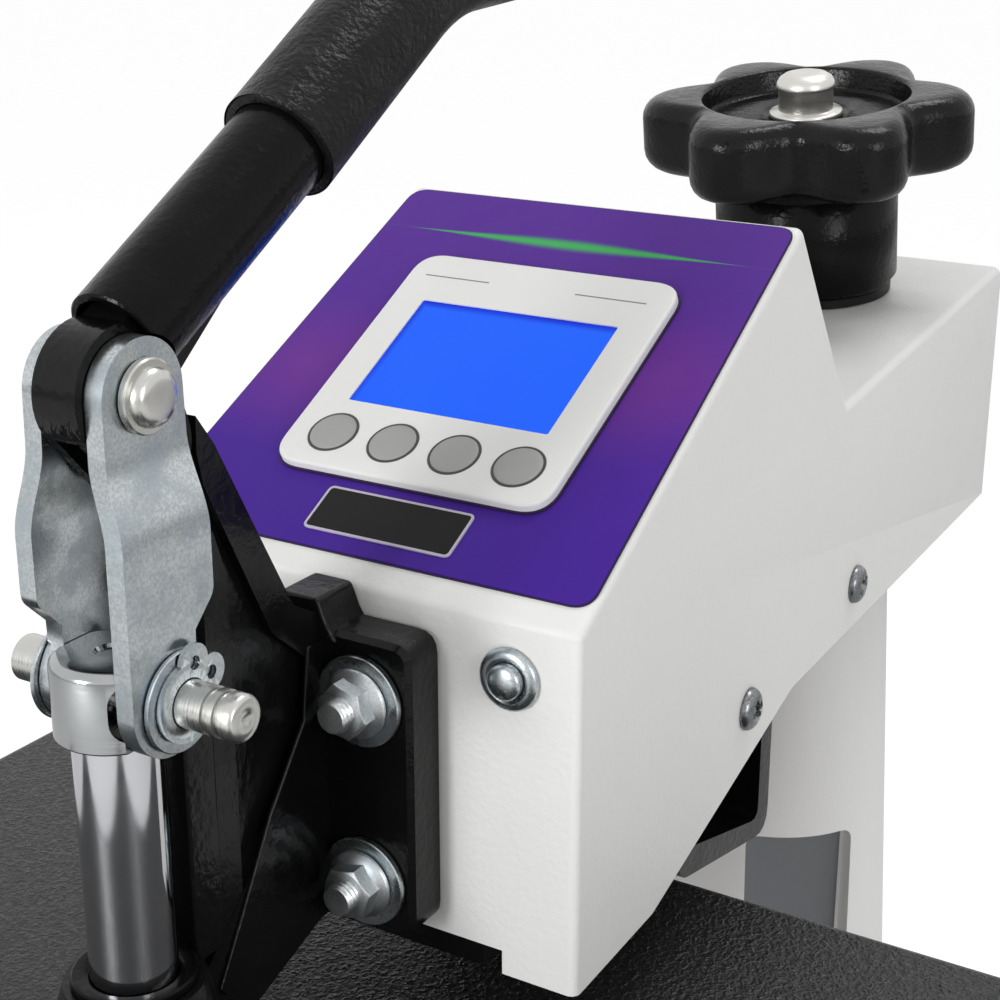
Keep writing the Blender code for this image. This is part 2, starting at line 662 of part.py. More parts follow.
def make_arm(carrier, look):
    """The cast arm: a deep beam with side pockets, a neck and the sleeve on the upright."""
    front = COVER_WALL + GAP
    side = [(front, -ARM_BOTTOM), (ARM_STEP_BACK, -ARM_BOTTOM), (ARM_STEP_BACK + ARM_STEP_RUN, -ARM_STEP_DROP),
            (ARM_REAR, -ARM_DROP), (ARM_REAR, ARM_TOP), (front, ARM_TOP)]
    radii = [GAP, ARM_CORNER, ARM_CORNER, ARM_CORNER, ARM_CORNER, GAP]
    outline = [(HEAD_Y + back, HEAD_Z + rise) for back, rise in rounded(side, radii)]
    arm = add("arm_casting", prism(outline, -ARM_HALF_WIDTH, ARM_HALF_WIDTH), look, carrier)
    step = ARM_STEP_BACK + ARM_RIM
    rear = ARM_REAR - ARM_RIM
    inset = [(front + ARM_RIM, ARM_RIM - ARM_BOTTOM), (step, ARM_RIM - ARM_BOTTOM),
             (step + ARM_STEP_RUN, ARM_RIM - ARM_STEP_DROP), (rear, ARM_RIM - ARM_DROP),
             (rear, ARM_TOP - ARM_RIM), (front + ARM_RIM, ARM_TOP - ARM_RIM)]
    pocket = [(HEAD_Y + back, HEAD_Z + rise) for back, rise in rounded(inset, ARM_CORNER / 2, 3)]
    floor = ARM_HALF_WIDTH - ARM_POCKET
    cut(arm, prism(pocket, floor, ARM_HALF_WIDTH + OVERRUN))
    cut(arm, prism(pocket, -floor, -ARM_HALF_WIDTH - OVERRUN))
    sleeve_bottom = PIVOT_RISE + 2 * GAP + THRUST_THICKNESS
    neck_low = head(ARM_REAR - ARM_POCKET, sleeve_bottom + OVERRUN, -NECK_HALF_WIDTH)
    neck_high = Vector((NECK_HALF_WIDTH, POST_Y, HEAD_Z + ARM_TOP - OVERRUN))
    fuse(arm, block(neck_low, neck_high))
    axis = at(Vector((0, POST_Y, HEAD_Z)))
    fuse(arm, moved(turned([(SLEEVE_RADIUS, sleeve_bottom), (SLEEVE_RADIUS, SLEEVE_TOP)], FINE), axis))
    bore = PIVOT_RADIUS + GAP
    depth = SLEEVE_TOP - SLEEVE_ROOF
    cut(arm, moved(turned([(bore, sleeve_bottom - OVERRUN), (bore, depth)], FINE), axis))
    for back, rise in LUG_PLACES:
        wall = cover_half(back + LUG_RADIUS) - COVER_WALL - GAP
        for hand in (-1, 1):
            ends = sorted((hand * (NECK_HALF_WIDTH - ARM_POCKET), hand * wall))
            fuse(arm, cross_rod(head(back, rise), LUG_RADIUS, ends[0], ends[1], COARSE))
    return arm


def cover_half(back):
    """Half the cover's width at a distance behind its front face."""
    return COVER_WIDTH / 2 - COVER_TAPER * back


def cover_side():
    """The cover's outline from the side, clockwise from the front bottom corner."""
    return [(0, 0), (0, COVER_BEND), (PANEL_BACK, PANEL_TOP), (COVER_STEP_BACK, COVER_STEP_HEIGHT),
            (COVER_LENGTH, COVER_REAR_HEIGHT), (COVER_LENGTH, COVER_REAR_BOTTOM),
            (COVER_RISE_BACK, COVER_REAR_BOTTOM), (COVER_CHIN, 0)]


def shrink(points, distance):
    """The outline moved in by a distance, side by side."""
    moved_sides = []
    for index, corner in enumerate(points):
        here = Vector(corner)
        along = (Vector(points[(index + 1) % len(points)]) - here).normalized()
        inward = Vector((along.y, -along.x))
        moved_sides.append((here + inward * distance, along))
    result = []
    for index, (place, along) in enumerate(moved_sides):
        before, direction = moved_sides[index - 1]
        across = Vector((-along.y, along.x))
        reach = (place - before).dot(across) / direction.dot(across)
        result.append(tuple(before + direction * reach))
    return result


def tapered(points, thinner):
    """A solid of the cover's taper from its side outline, thinner by a wall at each side."""
    rings = []
    for hand in (-1, 1):
        rings.append([head(back, rise, hand * (cover_half(back) - thinner)) for back, rise in points])
    return skin(rings)


def make_cover(carrier, look):
    """The folded sheet-metal cover, open below, with its notch and holes."""
    outer = rounded(cover_side(), [0, COVER_ROUND, COVER_ROUND, 0, COVER_ROUND, 0, 0, 0], 3)
    cover = add("head_cover", tapered(outer, 0), look, carrier)
    inner = shrink(cover_side(), COVER_WALL)
    below = -COVER_BEND / 2
    hollow = [(inner[0][0], below), *inner[1:5], (inner[5][0], below)]
    cut(cover, tapered(hollow, COVER_WALL))
    cut(cover, block(head(-OVERRUN, -OVERRUN, -NOTCH_HALF), head(COVER_WALL + OVERRUN, NOTCH_HEIGHT, NOTCH_HALF)))
    barrel = turned([(BUTTON_BARREL_RADIUS + GAP, -OVERRUN), (BUTTON_BARREL_RADIUS + GAP, OVERRUN)], MEDIUM)
    cut(cover, moved(barrel, at(head(0, BUTTON_HEIGHT, BUTTON_ACROSS), FACE_FRONT)))
    hole = turned([(KNOB_RING_BORE, -2 * COVER_WALL - OVERRUN), (KNOB_RING_BORE, OVERRUN)], MEDIUM)
    cut(cover, moved(hole, flat_frame()))
    inside = COVER_LENGTH - COVER_WALL - OVERRUN
    for across, width, height in ((SWITCH_ACROSS, SWITCH_WIDTH, SWITCH_HEIGHT),
                                  (-SWITCH_ACROSS, INLET_WIDTH, INLET_HEIGHT)):
        half_width = width / 2 - SWITCH_LIP
        half_height = height / 2 - SWITCH_LIP
        low = head(inside, SWITCH_RISE - half_height, across - half_width)
        high = head(COVER_LENGTH + OVERRUN, SWITCH_RISE + half_height, across + half_width)
        cut(cover, block(low, high))


def panel_plate(centre, width, low, length, bottom, top, corner, steps=4):
    """A rounded plate on the sloping face."""
    plate = slab((centre, low + length / 2), (width, length), bottom, top, corner, steps)
    return moved(plate, on_panel())


def make_panel(carrier, looks):
    """Overlay, bezel with its window and keys, and the dark strip below it."""
    low = OVERLAY_LOW
    high = PANEL_LENGTH - OVERLAY_TOP_MARGIN
    outline = []
    for hand, along in ((-1, low), (1, low), (1, high), (-1, high)):
        half = cover_half(along * math.cos(PANEL_ANGLE)) - OVERLAY_MARGIN
        outline.append((hand * half, along))
    under = GAP
    over = under + OVERLAY_THICKNESS
    sheet = prism(rounded(outline, OVERLAY_ROUND, 5), under, over, "Z")
    add("panel_overlay", moved(sheet, on_panel()), looks["purple"], carrier)
    bottom = over + GAP
    top = bottom + BEZEL_THICKNESS
    plate = panel_plate(BEZEL_CENTRE, BEZEL_WIDTH, BEZEL_LOW, BEZEL_LENGTH, bottom, top, BEZEL_ROUND, 4)
    bezel = add("controller_bezel", plate, looks["ivory"], carrier)
    soften(bezel, BEZEL_EDGE)
    floor = top - LCD_DEPTH - LCD_THICKNESS - GAP
    side = LCD_WIDTH + 2 * GAP
    cut(bezel, panel_plate(BEZEL_CENTRE, side, LCD_LOW - GAP, LCD_LENGTH + 2 * GAP, floor, top + OVERRUN, GAP, 2))
    glass = panel_plate(BEZEL_CENTRE, LCD_WIDTH, LCD_LOW, LCD_LENGTH, floor + GAP, top - LCD_DEPTH, GAP, 2)
    add("lcd_window", glass, looks["lcd"], carrier)
    strip = panel_plate(WINDOW_CENTRE, WINDOW_WIDTH, WINDOW_LOW, WINDOW_LENGTH, bottom,
                        bottom + WINDOW_THICKNESS, WINDOW_ROUND, 3)
    add("lower_window", strip, looks["dark"], carrier)
    for index in range(KEY_COUNT):
        across = KEY_CENTRE + (index - (KEY_COUNT - 1) / 2) * KEY_PITCH
        place = on_panel() @ Vector((across, KEY_LOW, top))
        hole = turned([(KEY_RADIUS + GAP, -BEZEL_THICKNESS - OVERRUN), (KEY_RADIUS + GAP, OVERRUN)], MEDIUM)
        cut(bezel, moved(hole, at(place, Matrix.Rotation(PANEL_ANGLE, 4, "X"))))
        joint = pivot("key_" + str(index + 1) + "_slide", place)
        joint.parent = carrier
        joint.location = place - carrier.location
        deep = KEY_TRAVEL + 2 * GAP - BEZEL_THICKNESS
        dome = [(KEY_RADIUS, deep)] + [(KEY_RADIUS * out, KEY_PROUD * up) for out, up in KEY_DOME_SHARES]
        key = moved(turned(dome, MEDIUM), at(place, Matrix.Rotation(PANEL_ANGLE, 4, "X")))
        key_part = add("key_" + str(index + 1), key, looks["key"])
        hang(key_part, joint, place)


def hang(part, joint, place):
    """Gives a part its origin at a joint's place and hangs it there."""
    part.data.transform(Matrix.Translation(-place))
    part.parent = joint


def make_button(carrier, looks):
    """The push button on the front face and its threaded barrel."""
    axis = at(head(0, BUTTON_HEIGHT, BUTTON_ACROSS), FACE_FRONT)
    bore = BUTTON_RADIUS + GAP
    ring = [(BUTTON_BARREL_RADIUS, -BUTTON_BARREL_LENGTH), (BUTTON_BARREL_RADIUS, GAP),
            (BUTTON_RING_RADIUS, GAP), (BUTTON_RING_RADIUS, BUTTON_RING_THICKNESS * BUTTON_RING_SHARE),
            (BUTTON_RING_RADIUS - BUTTON_RING_THICKNESS / 2, BUTTON_RING_THICKNESS), (bore, BUTTON_RING_THICKNESS),
            (bore, -BUTTON_STEM)]
    add("button_ring", moved(turned(ring, MEDIUM), axis), looks["zinc"], carrier)
    dome = [(BUTTON_RADIUS, BUTTON_TRAVEL + GAP - BUTTON_STEM)]
    dome += [(BUTTON_RADIUS * out, BUTTON_PROUD * up) for out, up in BUTTON_DOME_SHARES]
    place = head(0, BUTTON_HEIGHT, BUTTON_ACROSS)
    joint = pivot("front_button_slide", place)
    joint.parent = carrier
    joint.location = place - carrier.location
    hang(add("front_button", moved(turned(dome, MEDIUM), axis), looks["zinc"]), joint, place)


def make_bracket(carrier, looks):
    """The front casting: bolted flange, ribbed web with its horn, and the rod's guide."""
    rear = HEAD_Y - GAP
    front = rear - FLANGE_THICKNESS
    face = [(-FLANGE_HALF_WIDTH, HEAD_Z + FLANGE_BOTTOM), (FLANGE_HALF_WIDTH, HEAD_Z + FLANGE_BOTTOM),
            (FLANGE_HALF_WIDTH, HEAD_Z + FLANGE_TOP), (-FLANGE_HALF_WIDTH, HEAD_Z + FLANGE_TOP)]
    bracket = add("lever_bracket", prism(rounded(face, FLANGE_ROUND, 4), front, rear, "Y"), looks["casting"], carrier)
    soften(bracket, FLANGE_EDGE)
    centre = (FULCRUM.y, FULCRUM.z)
    shoulder = (ROD_Y + HORN_SHOULDER_BACK, HEAD_Z + HORN_SHOULDER_RISE)
    root = (ROD_Y + HORN_ROOT_BACK, HEAD_Z + HORN_ROOT_RISE)
    rib = ROD_Y + RIB_FRONT
    low = HEAD_Z + GUSSET_LOW
    inside = front + FLANGE_THICKNESS / 2
    flange_top = HEAD_Z + FLANGE_TOP
    eye_top = arc(centre, HORN_EYE, HORN_EYE_FROM, HORN_EYE_TO, 9)
    web = [(rib, low), (rib, FULCRUM.z - 2 * HORN_EYE), *eye_top, shoulder, root,
           (inside, flange_top), (inside, low)]
    fuse(bracket, prism(web, -HORN_WEB / 2, HORN_WEB / 2))
    inner_shoulder = (shoulder[0] - HORN_RIM / 2, shoulder[1] - HORN_RIM)
    start = (centre[0] + RIM_START_BACK, centre[1] + RIM_START_RISE)
    rim = [start, rounded([start, shoulder, root], [0, HORN_RIM, 0], 3)[1:-1], root,
           (inside, flange_top - GAP), (inside, flange_top - 2 * HORN_RIM),
           (root[0] - HORN_RIM, root[1] - HORN_RIM / 2), inner_shoulder, (start[0] - GAP, start[1] - HORN_RIM)]
    outline = []
    for item in rim:
        outline.extend(item if isinstance(item, list) else [item])
    fuse(bracket, prism(outline, -RIB_HALF, RIB_HALF))
    spine_top = FULCRUM.z - RIB_SHOULDER_BELOW
    spine = [(rib, low + GAP), (rib, spine_top), (rib + RIB_DEPTH / 2, FULCRUM.z - RIB_TIP_BELOW),
             (rib + RIB_DEPTH, spine_top), (rib + RIB_DEPTH, low + GAP)]
    fuse(bracket, prism(spine, GAP - RIB_HALF, RIB_HALF - GAP))
    toe = ROD_Y + GUIDE_RADIUS - OVERRUN
    gusset = [(toe, HEAD_Z - GUIDE_BOTTOM + OVERRUN), (toe, low), (inside, HEAD_Z + GUSSET_HIGH),
              (inside, HEAD_Z + FLANGE_BOTTOM + OVERRUN)]
    fuse(bracket, prism(gusset, GAP / 2 - RIB_HALF, RIB_HALF - GAP / 2))
    guide = [(GUIDE_RADIUS, -GUIDE_BOTTOM), (GUIDE_RADIUS, GUIDE_SHOULDER), (GUIDE_TOP_RADIUS, GUIDE_TOP)]
    axis = at(Vector((0, ROD_Y, HEAD_Z)))
    fuse(bracket, moved(turned(guide, FINE), axis))
    hole = BUSH_RADIUS + GAP
    cut(bracket, moved(turned([(hole, -GUIDE_BOTTOM - OVERRUN), (hole, GUIDE_TOP + OVERRUN)], FINE), axis))
    cut(bracket, cross_rod(FULCRUM, FULCRUM_RADIUS + GAP, -LEVER_WIDTH, LEVER_WIDTH))
    bore = ROD_RADIUS + GAP
    rim_top = GUIDE_TOP + BUSH_PROUD
    bush = [(bore, -GUIDE_BOTTOM), (BUSH_RADIUS, -GUIDE_BOTTOM), (BUSH_RADIUS, GUIDE_TOP + GAP),
            (BUSH_RIM_RADIUS, GUIDE_TOP + GAP), (BUSH_RIM_RADIUS, rim_top), (bore, rim_top)]
    add("rod_bush", moved(turned(bush, FINE, True), axis), looks["dark"], carrier)
    add("fulcrum_pin", cross_rod(FULCRUM, FULCRUM_RADIUS, -LEVER_HALF, LEVER_HALF, COARSE), looks["zinc"], carrier)
    return front


def make_fasteners(carrier, front, look):
    """Washers and flanged hex nuts on the four studs of the front casting."""
    top = GAP + WASHER_THICKNESS
    bottom = top + GAP
    shoulder = bottom + NUT_FLANGE_HEIGHT
    face = bottom + NUT_HEIGHT
    corner = NUT_ACROSS_FLATS / math.sqrt(3)
    ring = [(WASHER_BORE, GAP), (WASHER_RADIUS, GAP), (WASHER_RADIUS, top), (WASHER_BORE, top)]
    flange = [(NUT_FLANGE_RADIUS, bottom), (NUT_FLANGE_RADIUS, shoulder),
              (corner * NUT_NECK_SHARE, shoulder + NUT_FLANGE_HEIGHT)]
    body = [(corner, shoulder), (corner, bottom + NUT_HEIGHT * NUT_CHAMFER_SHARE), (corner * NUT_CHAMFER_SHARE, face)]
    stud = [(STUD_RADIUS, shoulder), (STUD_RADIUS, face + STUD_PROUD * STUD_TIP_SHARE),
            (STUD_RADIUS * STUD_TIP_SHARE, face + STUD_PROUD)]
    for side, across in (("left", -STUD_ACROSS), ("right", STUD_ACROSS)):
        for level, rise in (("lower", STUD_LOW), ("upper", STUD_HIGH)):
            axis = at(Vector((across, front, HEAD_Z + rise)), FACE_FRONT)
            add("washer_" + level + "_" + side, moved(turned(ring, MEDIUM, True), axis), look, carrier)
            nut = add("nut_" + level + "_" + side, moved(turned(flange, COARSE), axis), look, carrier)
            fuse(nut, moved(turned(body, 6), axis))
            fuse(nut, moved(turned(stud, COARSE), axis))


def hull_outline(first, first_radius, second, second_radius, steps=8):
    """The outline round two circles and the two lines that touch both."""
    between = Vector(second) - Vector(first)
    heading = math.degrees(math.atan2(between.y, between.x))
    lean = math.degrees(math.acos((first_radius - second_radius) / between.length))
    near = arc(first, first_radius, heading + lean, heading + 360 - lean, steps)
    far = arc(second, second_radius, heading - lean, heading + lean, steps)
    return near + far


def handle_path():
    """Places and headings along the handle, from its open end to the grip's end."""
    turn = math.radians(TUBE_ANGLE)
    along = Vector((math.cos(turn), math.sin(turn)))
    across = Vector((-math.sin(turn), math.cos(turn)))
    place = Vector((FULCRUM.y, FULCRUM.z)) + along * TUBE_START + across * TUBE_OFFSET
    path = [(place.copy(), TUBE_ANGLE)]

    def run(place, angle, length):
        step = Vector(polar(length, angle))
        path.append((place + step, angle))
        return place + step

    def bend(place, angle, last, radius, steps):
        heading = 1 if last > angle else -1
        centre = place + Vector(polar(radius, angle + heading * 90))
        for index in range(1, steps + 1):
            now = angle + (last - angle) * index / steps
            path.append((centre - Vector(polar(radius, now + heading * 90)), now))
        return path[-1][0]

    place = run(place, TUBE_ANGLE, TUBE_LENGTH)
    place = bend(place, TUBE_ANGLE, GRIP_ANGLE, HANDLE_KINK_RADIUS, 3)
    place = run(place, GRIP_ANGLE, GRIP_STRAIGHT)
    place = bend(place, GRIP_ANGLE, GRIP_END_ANGLE, GRIP_BEND_RADIUS, 6)
    run(place, GRIP_END_ANGLE, GRIP_END)
    return path


def hoop(place, angle, radius, steps=COARSE):
    """A ring of points square to the handle's path."""
    side = Vector(polar(1, angle + 90))
    ring = []
    for step in range(steps):
        across, up = polar(radius, 360 * step / steps)
        ring.append((across, place.x + side.x * up, place.y + side.y * up))
    return ring


def beyond(place, angle, distance):
    """A place further along the path's heading."""
    return place + Vector(polar(distance, angle))


def make_lever(carrier, looks):
    """The lever plate, the handle tube it is set in, and the grip."""
    fulcrum = (FULCRUM.y, FULCRUM.z)
    top = (TOP_PIN.y, TOP_PIN.z)
    path = handle_path()
    mouth, heading = path[0]
    root = tuple(beyond(mouth, heading, TANG_RADIUS))
    tip = tuple(beyond(mouth, heading, TANG_LENGTH))
    under = tuple(beyond(beyond(Vector(fulcrum), heading, LEVER_WEB_ALONG), heading + 90, LEVER_WEB_ACROSS))
    lever = add("lever", prism(hull_outline(top, LEVER_BOSS, fulcrum, LEVER_EYE), -LEVER_HALF, LEVER_HALF),
                looks["casting"], carrier)
    neck = hull_outline(top, LEVER_EYE - GAP, root, TANG_RADIUS)
    fuse(lever, prism(neck, LEVER_PLAY - LEVER_HALF, LEVER_HALF - LEVER_PLAY))
    tang = hull_outline(root, TANG_RADIUS, tip, TANG_RADIUS - GAP)
    thin = 2 * LEVER_PLAY
    fuse(lever, prism(tang, thin - LEVER_HALF, LEVER_HALF - thin))
    web = hull_outline(top, LEVER_EYE - 2 * GAP, under, LEVER_WEB_RADIUS)
    thinner = 3 * LEVER_PLAY
    fuse(lever, prism(web, thinner - LEVER_HALF, LEVER_HALF - thinner))
    half = HORN_WEB / 2 + SLOT_SIDE
    mouth_end = SLOT_FROM + SLOT_MOUTH_TURN
    outline = arc(fulcrum, SLOT_MOUTH, SLOT_FROM, mouth_end, 3) + arc(fulcrum, SLOT_OUTER, mouth_end, SLOT_TO, 12)
    outline += arc(fulcrum, SLOT_INNER, SLOT_TO - 360, SLOT_FROM, 6)
    cut(lever, prism(outline, -half, half))
    cut(lever, cross_rod(FULCRUM, FULCRUM_RADIUS + GAP, -LEVER_WIDTH, LEVER_WIDTH))
    cut(lever, cross_rod(TOP_PIN, TOP_PIN_RADIUS + GAP, -LEVER_WIDTH, LEVER_WIDTH))
    inner = TUBE_RADIUS - TUBE_WALL
    depth = beyond(mouth, heading, TUBE_LENGTH * TUBE_BORE_SHARE)
    rings = [hoop(depth, heading, inner), hoop(mouth, heading, inner), hoop(mouth, heading, TUBE_RADIUS)]
    rings += [hoop(place, angle, TUBE_RADIUS) for place, angle in path[1:]]
    tube = add("handle_tube", skin(rings), looks["tube"], carrier)
    slot = LEVER_HALF + GAP
    cut(tube, prism(hull_outline(top, LEVER_BOSS + GAP, root, TANG_RADIUS + 2 * GAP), -slot, slot))
    cut(tube, prism(hull_outline(top, LEVER_EYE + GAP, under, LEVER_WEB_RADIUS + GAP), -slot, slot))
    cut(tube, cross_rod(TOP_PIN, LINK_TOP_RADIUS + 2 * GAP, -2 * TUBE_RADIUS, 2 * TUBE_RADIUS))
    make_grip(carrier, path, looks["grip"])
    make_top_pin(carrier, looks["zinc"])


def make_grip(carrier, path, look):
    """The moulded grip, a sleeve closed at its far end."""
    bore = TUBE_RADIUS + GAP
    start = path[1]
    end, heading = path[-1]
    rings = [hoop(beyond(end, heading, GAP), heading, bore)]
    rings += [hoop(place, angle, bore) for place, angle in reversed(path[1:-1])]
    lip = GRIP_RADIUS - TUBE_WALL / 2
    rings.append(hoop(start[0], start[1], lip))
    rings.append(hoop(beyond(start[0], start[1], TUBE_WALL), start[1], GRIP_RADIUS))
    rings += [hoop(place, angle, GRIP_RADIUS) for place, angle in path[2:]]
    for degrees in GRIP_DOME_ANGLES:
        out, along = polar(1, degrees)
        rings.append(hoop(beyond(end, heading, GRIP_DOME * along), heading, GRIP_RADIUS * out))
    add("handle_grip", skin(rings), look, carrier)


def make_top_pin(carrier, look):
    """The domed pin that joins the lever to the links."""
    outer = LINK_TOP_INNER + LINK_THICKNESS + GAP
    ring = outer + TOP_PIN_RING_THICKNESS
    side = ring + TOP_PIN_DOME * TOP_PIN_DOME_SHARE
    half = [(TOP_PIN_RADIUS, outer), (TOP_PIN_RING, outer), (TOP_PIN_RING, ring), (TOP_PIN_HEAD, ring),
            (TOP_PIN_HEAD, side), (TOP_PIN_HEAD * TOP_PIN_DOME_SHARE, ring + TOP_PIN_DOME)]
    profile = [(radius, -along) for radius, along in reversed(half)] + half
    add("top_pin", moved(turned(profile, MEDIUM), at(TOP_PIN, LAY_ALONG_X)), look, carrier)


def link_outline():
    """A link from its side, as (Y, Z) from the cross pin's axis."""
    low = arc((LINK_LOW_RADIUS - LINK_FRONT, 0), LINK_LOW_RADIUS, 180, LINK_EYE_END, 9)
    shoulder = LINK_NECK_RISE + LINK_NECK
    rear = rounded([(LINK_NECK, LINK_NECK_RISE), (LINK_REAR, shoulder), (LINK_REAR, LINK_BEND_LOW)],
                   [0, LINK_NECK / 2, 0], 3)
    top = arc((0, LINK_CENTRES), LINK_TOP_RADIUS, 0, 180, 8)
    return [*low, *rear, (LINK_REAR, LINK_BEND_HIGH - LINK_NECK), *top, (-LINK_TOP_RADIUS, LINK_BEND_HIGH),
            (-LINK_FRONT, LINK_BEND_LOW)]


def link_side(rise):
    """How far the link's inner face stands from the middle, by its height."""
    share = (rise - LINK_BEND_LOW) / (LINK_BEND_HIGH - LINK_BEND_LOW)
    share = min(max(share, 0.0), 1.0)
    smooth = share * share * (3 - 2 * share)
    return LINK_SPREAD + (LINK_TOP_INNER - LINK_SPREAD) * smooth


def link_mesh():
    """A flat strap, sliced at the bend's heights and then set over in two curves."""
    bm = prism(link_outline(), 0, LINK_THICKNESS)
    slices = 4
    for index in range(slices + 1):
        rise = LINK_BEND_LOW + (LINK_BEND_HIGH - LINK_BEND_LOW) * index / slices
        bmesh.ops.bisect_plane(bm, geom=bm.verts[:] + bm.edges[:] + bm.faces[:],
                               plane_co=(0, 0, rise), plane_no=(0, 0, 1))
    for vert in bm.verts:
        vert.co.x += link_side(vert.co.z)
    return bm


def make_links(carrier, looks):
    """Two links, the cross pin, its washers and the eared clip."""
    for side, turn in (("right", 0), ("left", 180)):
        strap = moved(link_mesh(), at(CROSS_PIN, Matrix.Rotation(math.radians(turn), 4, "Z")))
        link = add("link_" + side, strap, looks["zinc"], carrier)
        cut(link, cross_rod(CROSS_PIN, CROSS_PIN_RADIUS + GAP, -CROSS_PIN_RIGHT, CROSS_PIN_RIGHT))
        cut(link, cross_rod(TOP_PIN, TOP_PIN_RADIUS + GAP, -CROSS_PIN_RIGHT, CROSS_PIN_RIGHT))
        soften(link, LINK_EDGE)
    end = CROSS_PIN_RIGHT
    inner = CROSS_PIN_RADIUS - CROSS_GROOVE_DEPTH
    tip = CROSS_PIN_RADIUS - CROSS_PIN_CHAMFER
    profile = [(tip, -CROSS_PIN_LEFT), (CROSS_PIN_RADIUS, CROSS_PIN_CHAMFER - CROSS_PIN_LEFT)]
    for setback in reversed(CROSS_GROOVE_SETS):
        stop = end - setback
        start = stop - CROSS_GROOVE_WIDTH
        profile += [(CROSS_PIN_RADIUS, start), (inner, start), (inner, stop), (CROSS_PIN_RADIUS, stop)]
    profile += [(CROSS_PIN_RADIUS, end - CROSS_PIN_CHAMFER), (tip, end)]
    add("cross_pin", moved(turned(profile, MEDIUM), at(CROSS_PIN, LAY_ALONG_X)), looks["pin"], carrier)
    outer = LINK_SPREAD + LINK_THICKNESS + GAP
    bore = CROSS_PIN_RADIUS + GAP
    high = outer + CROSS_WASHER_THICKNESS
    for side, hand in (("left", -1), ("right", 1)):
        ring = [(bore, hand * outer), (CROSS_WASHER_RADIUS, hand * outer),
                (CROSS_WASHER_RADIUS, hand * high), (bore, hand * high)]
        washer = moved(turned(ring, MEDIUM, True), at(CROSS_PIN, LAY_ALONG_X))
        add("cross_washer_" + side, washer, looks["zinc"], carrier)
    low = high + GAP
    top = low + CLIP_THICKNESS
    ring = [(bore, low), (CLIP_RADIUS, low), (CLIP_RADIUS, top), (bore, top)]
    ring = moved(turned(ring, MEDIUM, True), at(CROSS_PIN, LAY_ALONG_X))
    clip = add("retaining_clip", ring, looks["zinc"], carrier)
    for spread in (-CLIP_EAR_SPREAD / 2, CLIP_EAR_SPREAD / 2):
        back, rise = polar(CLIP_EAR_OUT, CLIP_EAR_ANGLE + spread)
        place = CROSS_PIN + Vector((0, back, rise))
        fuse(clip, cross_rod(place, CLIP_EAR_RADIUS, low + GAP / 2, top - GAP / 2, COARSE))
        cut(clip, cross_rod(place, CLIP_EAR_HOLE, low - OVERRUN, top + OVERRUN, COARSE))
    cut(clip, cross_rod(CROSS_PIN, bore, low - OVERRUN, top + OVERRUN))


def make_platen(carrier, looks):
    """Rod, collar with its slotted cross hole, heat plate, board and shroud."""
    axis = at(Vector((0, ROD_Y, 0)))
    collar_bottom = CROSS_PIN.z - COLLAR_HEIGHT / 2
    collar_top = CROSS_PIN.z + COLLAR_HEIGHT / 2
    foot = PLATE_TOP + GAP
    step = foot + ROD_FOOT_HEIGHT
    rod_top = collar_bottom - GAP
    profile = [(ROD_FOOT_RADIUS, foot), (ROD_FOOT_RADIUS, step), (ROD_RADIUS, step), (ROD_RADIUS, rod_top)]
    add("press_rod", moved(turned(profile, FINE), axis), looks["chrome"], carrier)
    inner = COLLAR_RADIUS - COLLAR_CHAMFER
    profile = [(COLLAR_RADIUS, collar_bottom), (COLLAR_RADIUS, collar_top - COLLAR_CHAMFER), (inner, collar_top)]
    collar = add("rod_collar", moved(turned(profile, FINE), axis), looks["zinc"], carrier)
    flat = LINK_SPREAD - GAP
    for left, right in ((-2 * COLLAR_RADIUS, -flat), (flat, 2 * COLLAR_RADIUS)):
        low = Vector((left, ROD_Y - 2 * COLLAR_RADIUS, collar_bottom - OVERRUN))
        cut(collar, block(low, Vector((right, ROD_Y + 2 * COLLAR_RADIUS, collar_top + OVERRUN))))
    swing = CRANK - CRANK * math.cos(math.radians(LEVER_TRAVEL / 2))
    rise = CROSS_PIN_RADIUS + PIN_PLAY + pin_lag()
    reach = CROSS_PIN_RADIUS + PIN_PLAY
    front = CROSS_PIN.y - swing - reach
    rear = CROSS_PIN.y + reach
    slot = rounded([(front, CROSS_PIN.z - rise), (rear, CROSS_PIN.z - rise), (rear, CROSS_PIN.z + rise),
                    (front, CROSS_PIN.z + rise)], CROSS_PIN_RADIUS, 5)
    cut(collar, prism(slot, -2 * COLLAR_RADIUS, 2 * COLLAR_RADIUS))
    plate = slab((0, ROD_Y), (PLATE_SIZE, PLATE_SIZE), PLATE_BOTTOM, PLATE_TOP, PLATE_CORNER)
    soften(add("heat_plate", plate, looks["aluminium"], carrier), PLATE_EDGE)
    board = slab((0, ROD_Y), (BOARD_SIZE, BOARD_SIZE), PLATE_TOP + GAP, BOARD_TOP, PLATE_CORNER)
    board = add("insulation_board", board, looks["board"], carrier)
    hole = ROD_FOOT_RADIUS + GAP
    cut(board, moved(turned([(hole, PLATE_TOP - OVERRUN), (hole, BOARD_TOP + OVERRUN)], FINE), axis))
    make_shroud(carrier, looks["shroud"], axis)


def pin_lag():
    """The most that the pin's true arc departs from the coupled, even motion."""
    lag = 0.0
    for step in range(1, LAG_STEPS):
        share = step / LAG_STEPS
        turned_by = LEVER_TRAVEL * share
        drop = CRANK * (math.sin(CRANK_TURN) - math.sin(math.radians(CRANK_ANGLE + turned_by)))
        lag = max(lag, abs(drop - STROKE * share))
    return lag


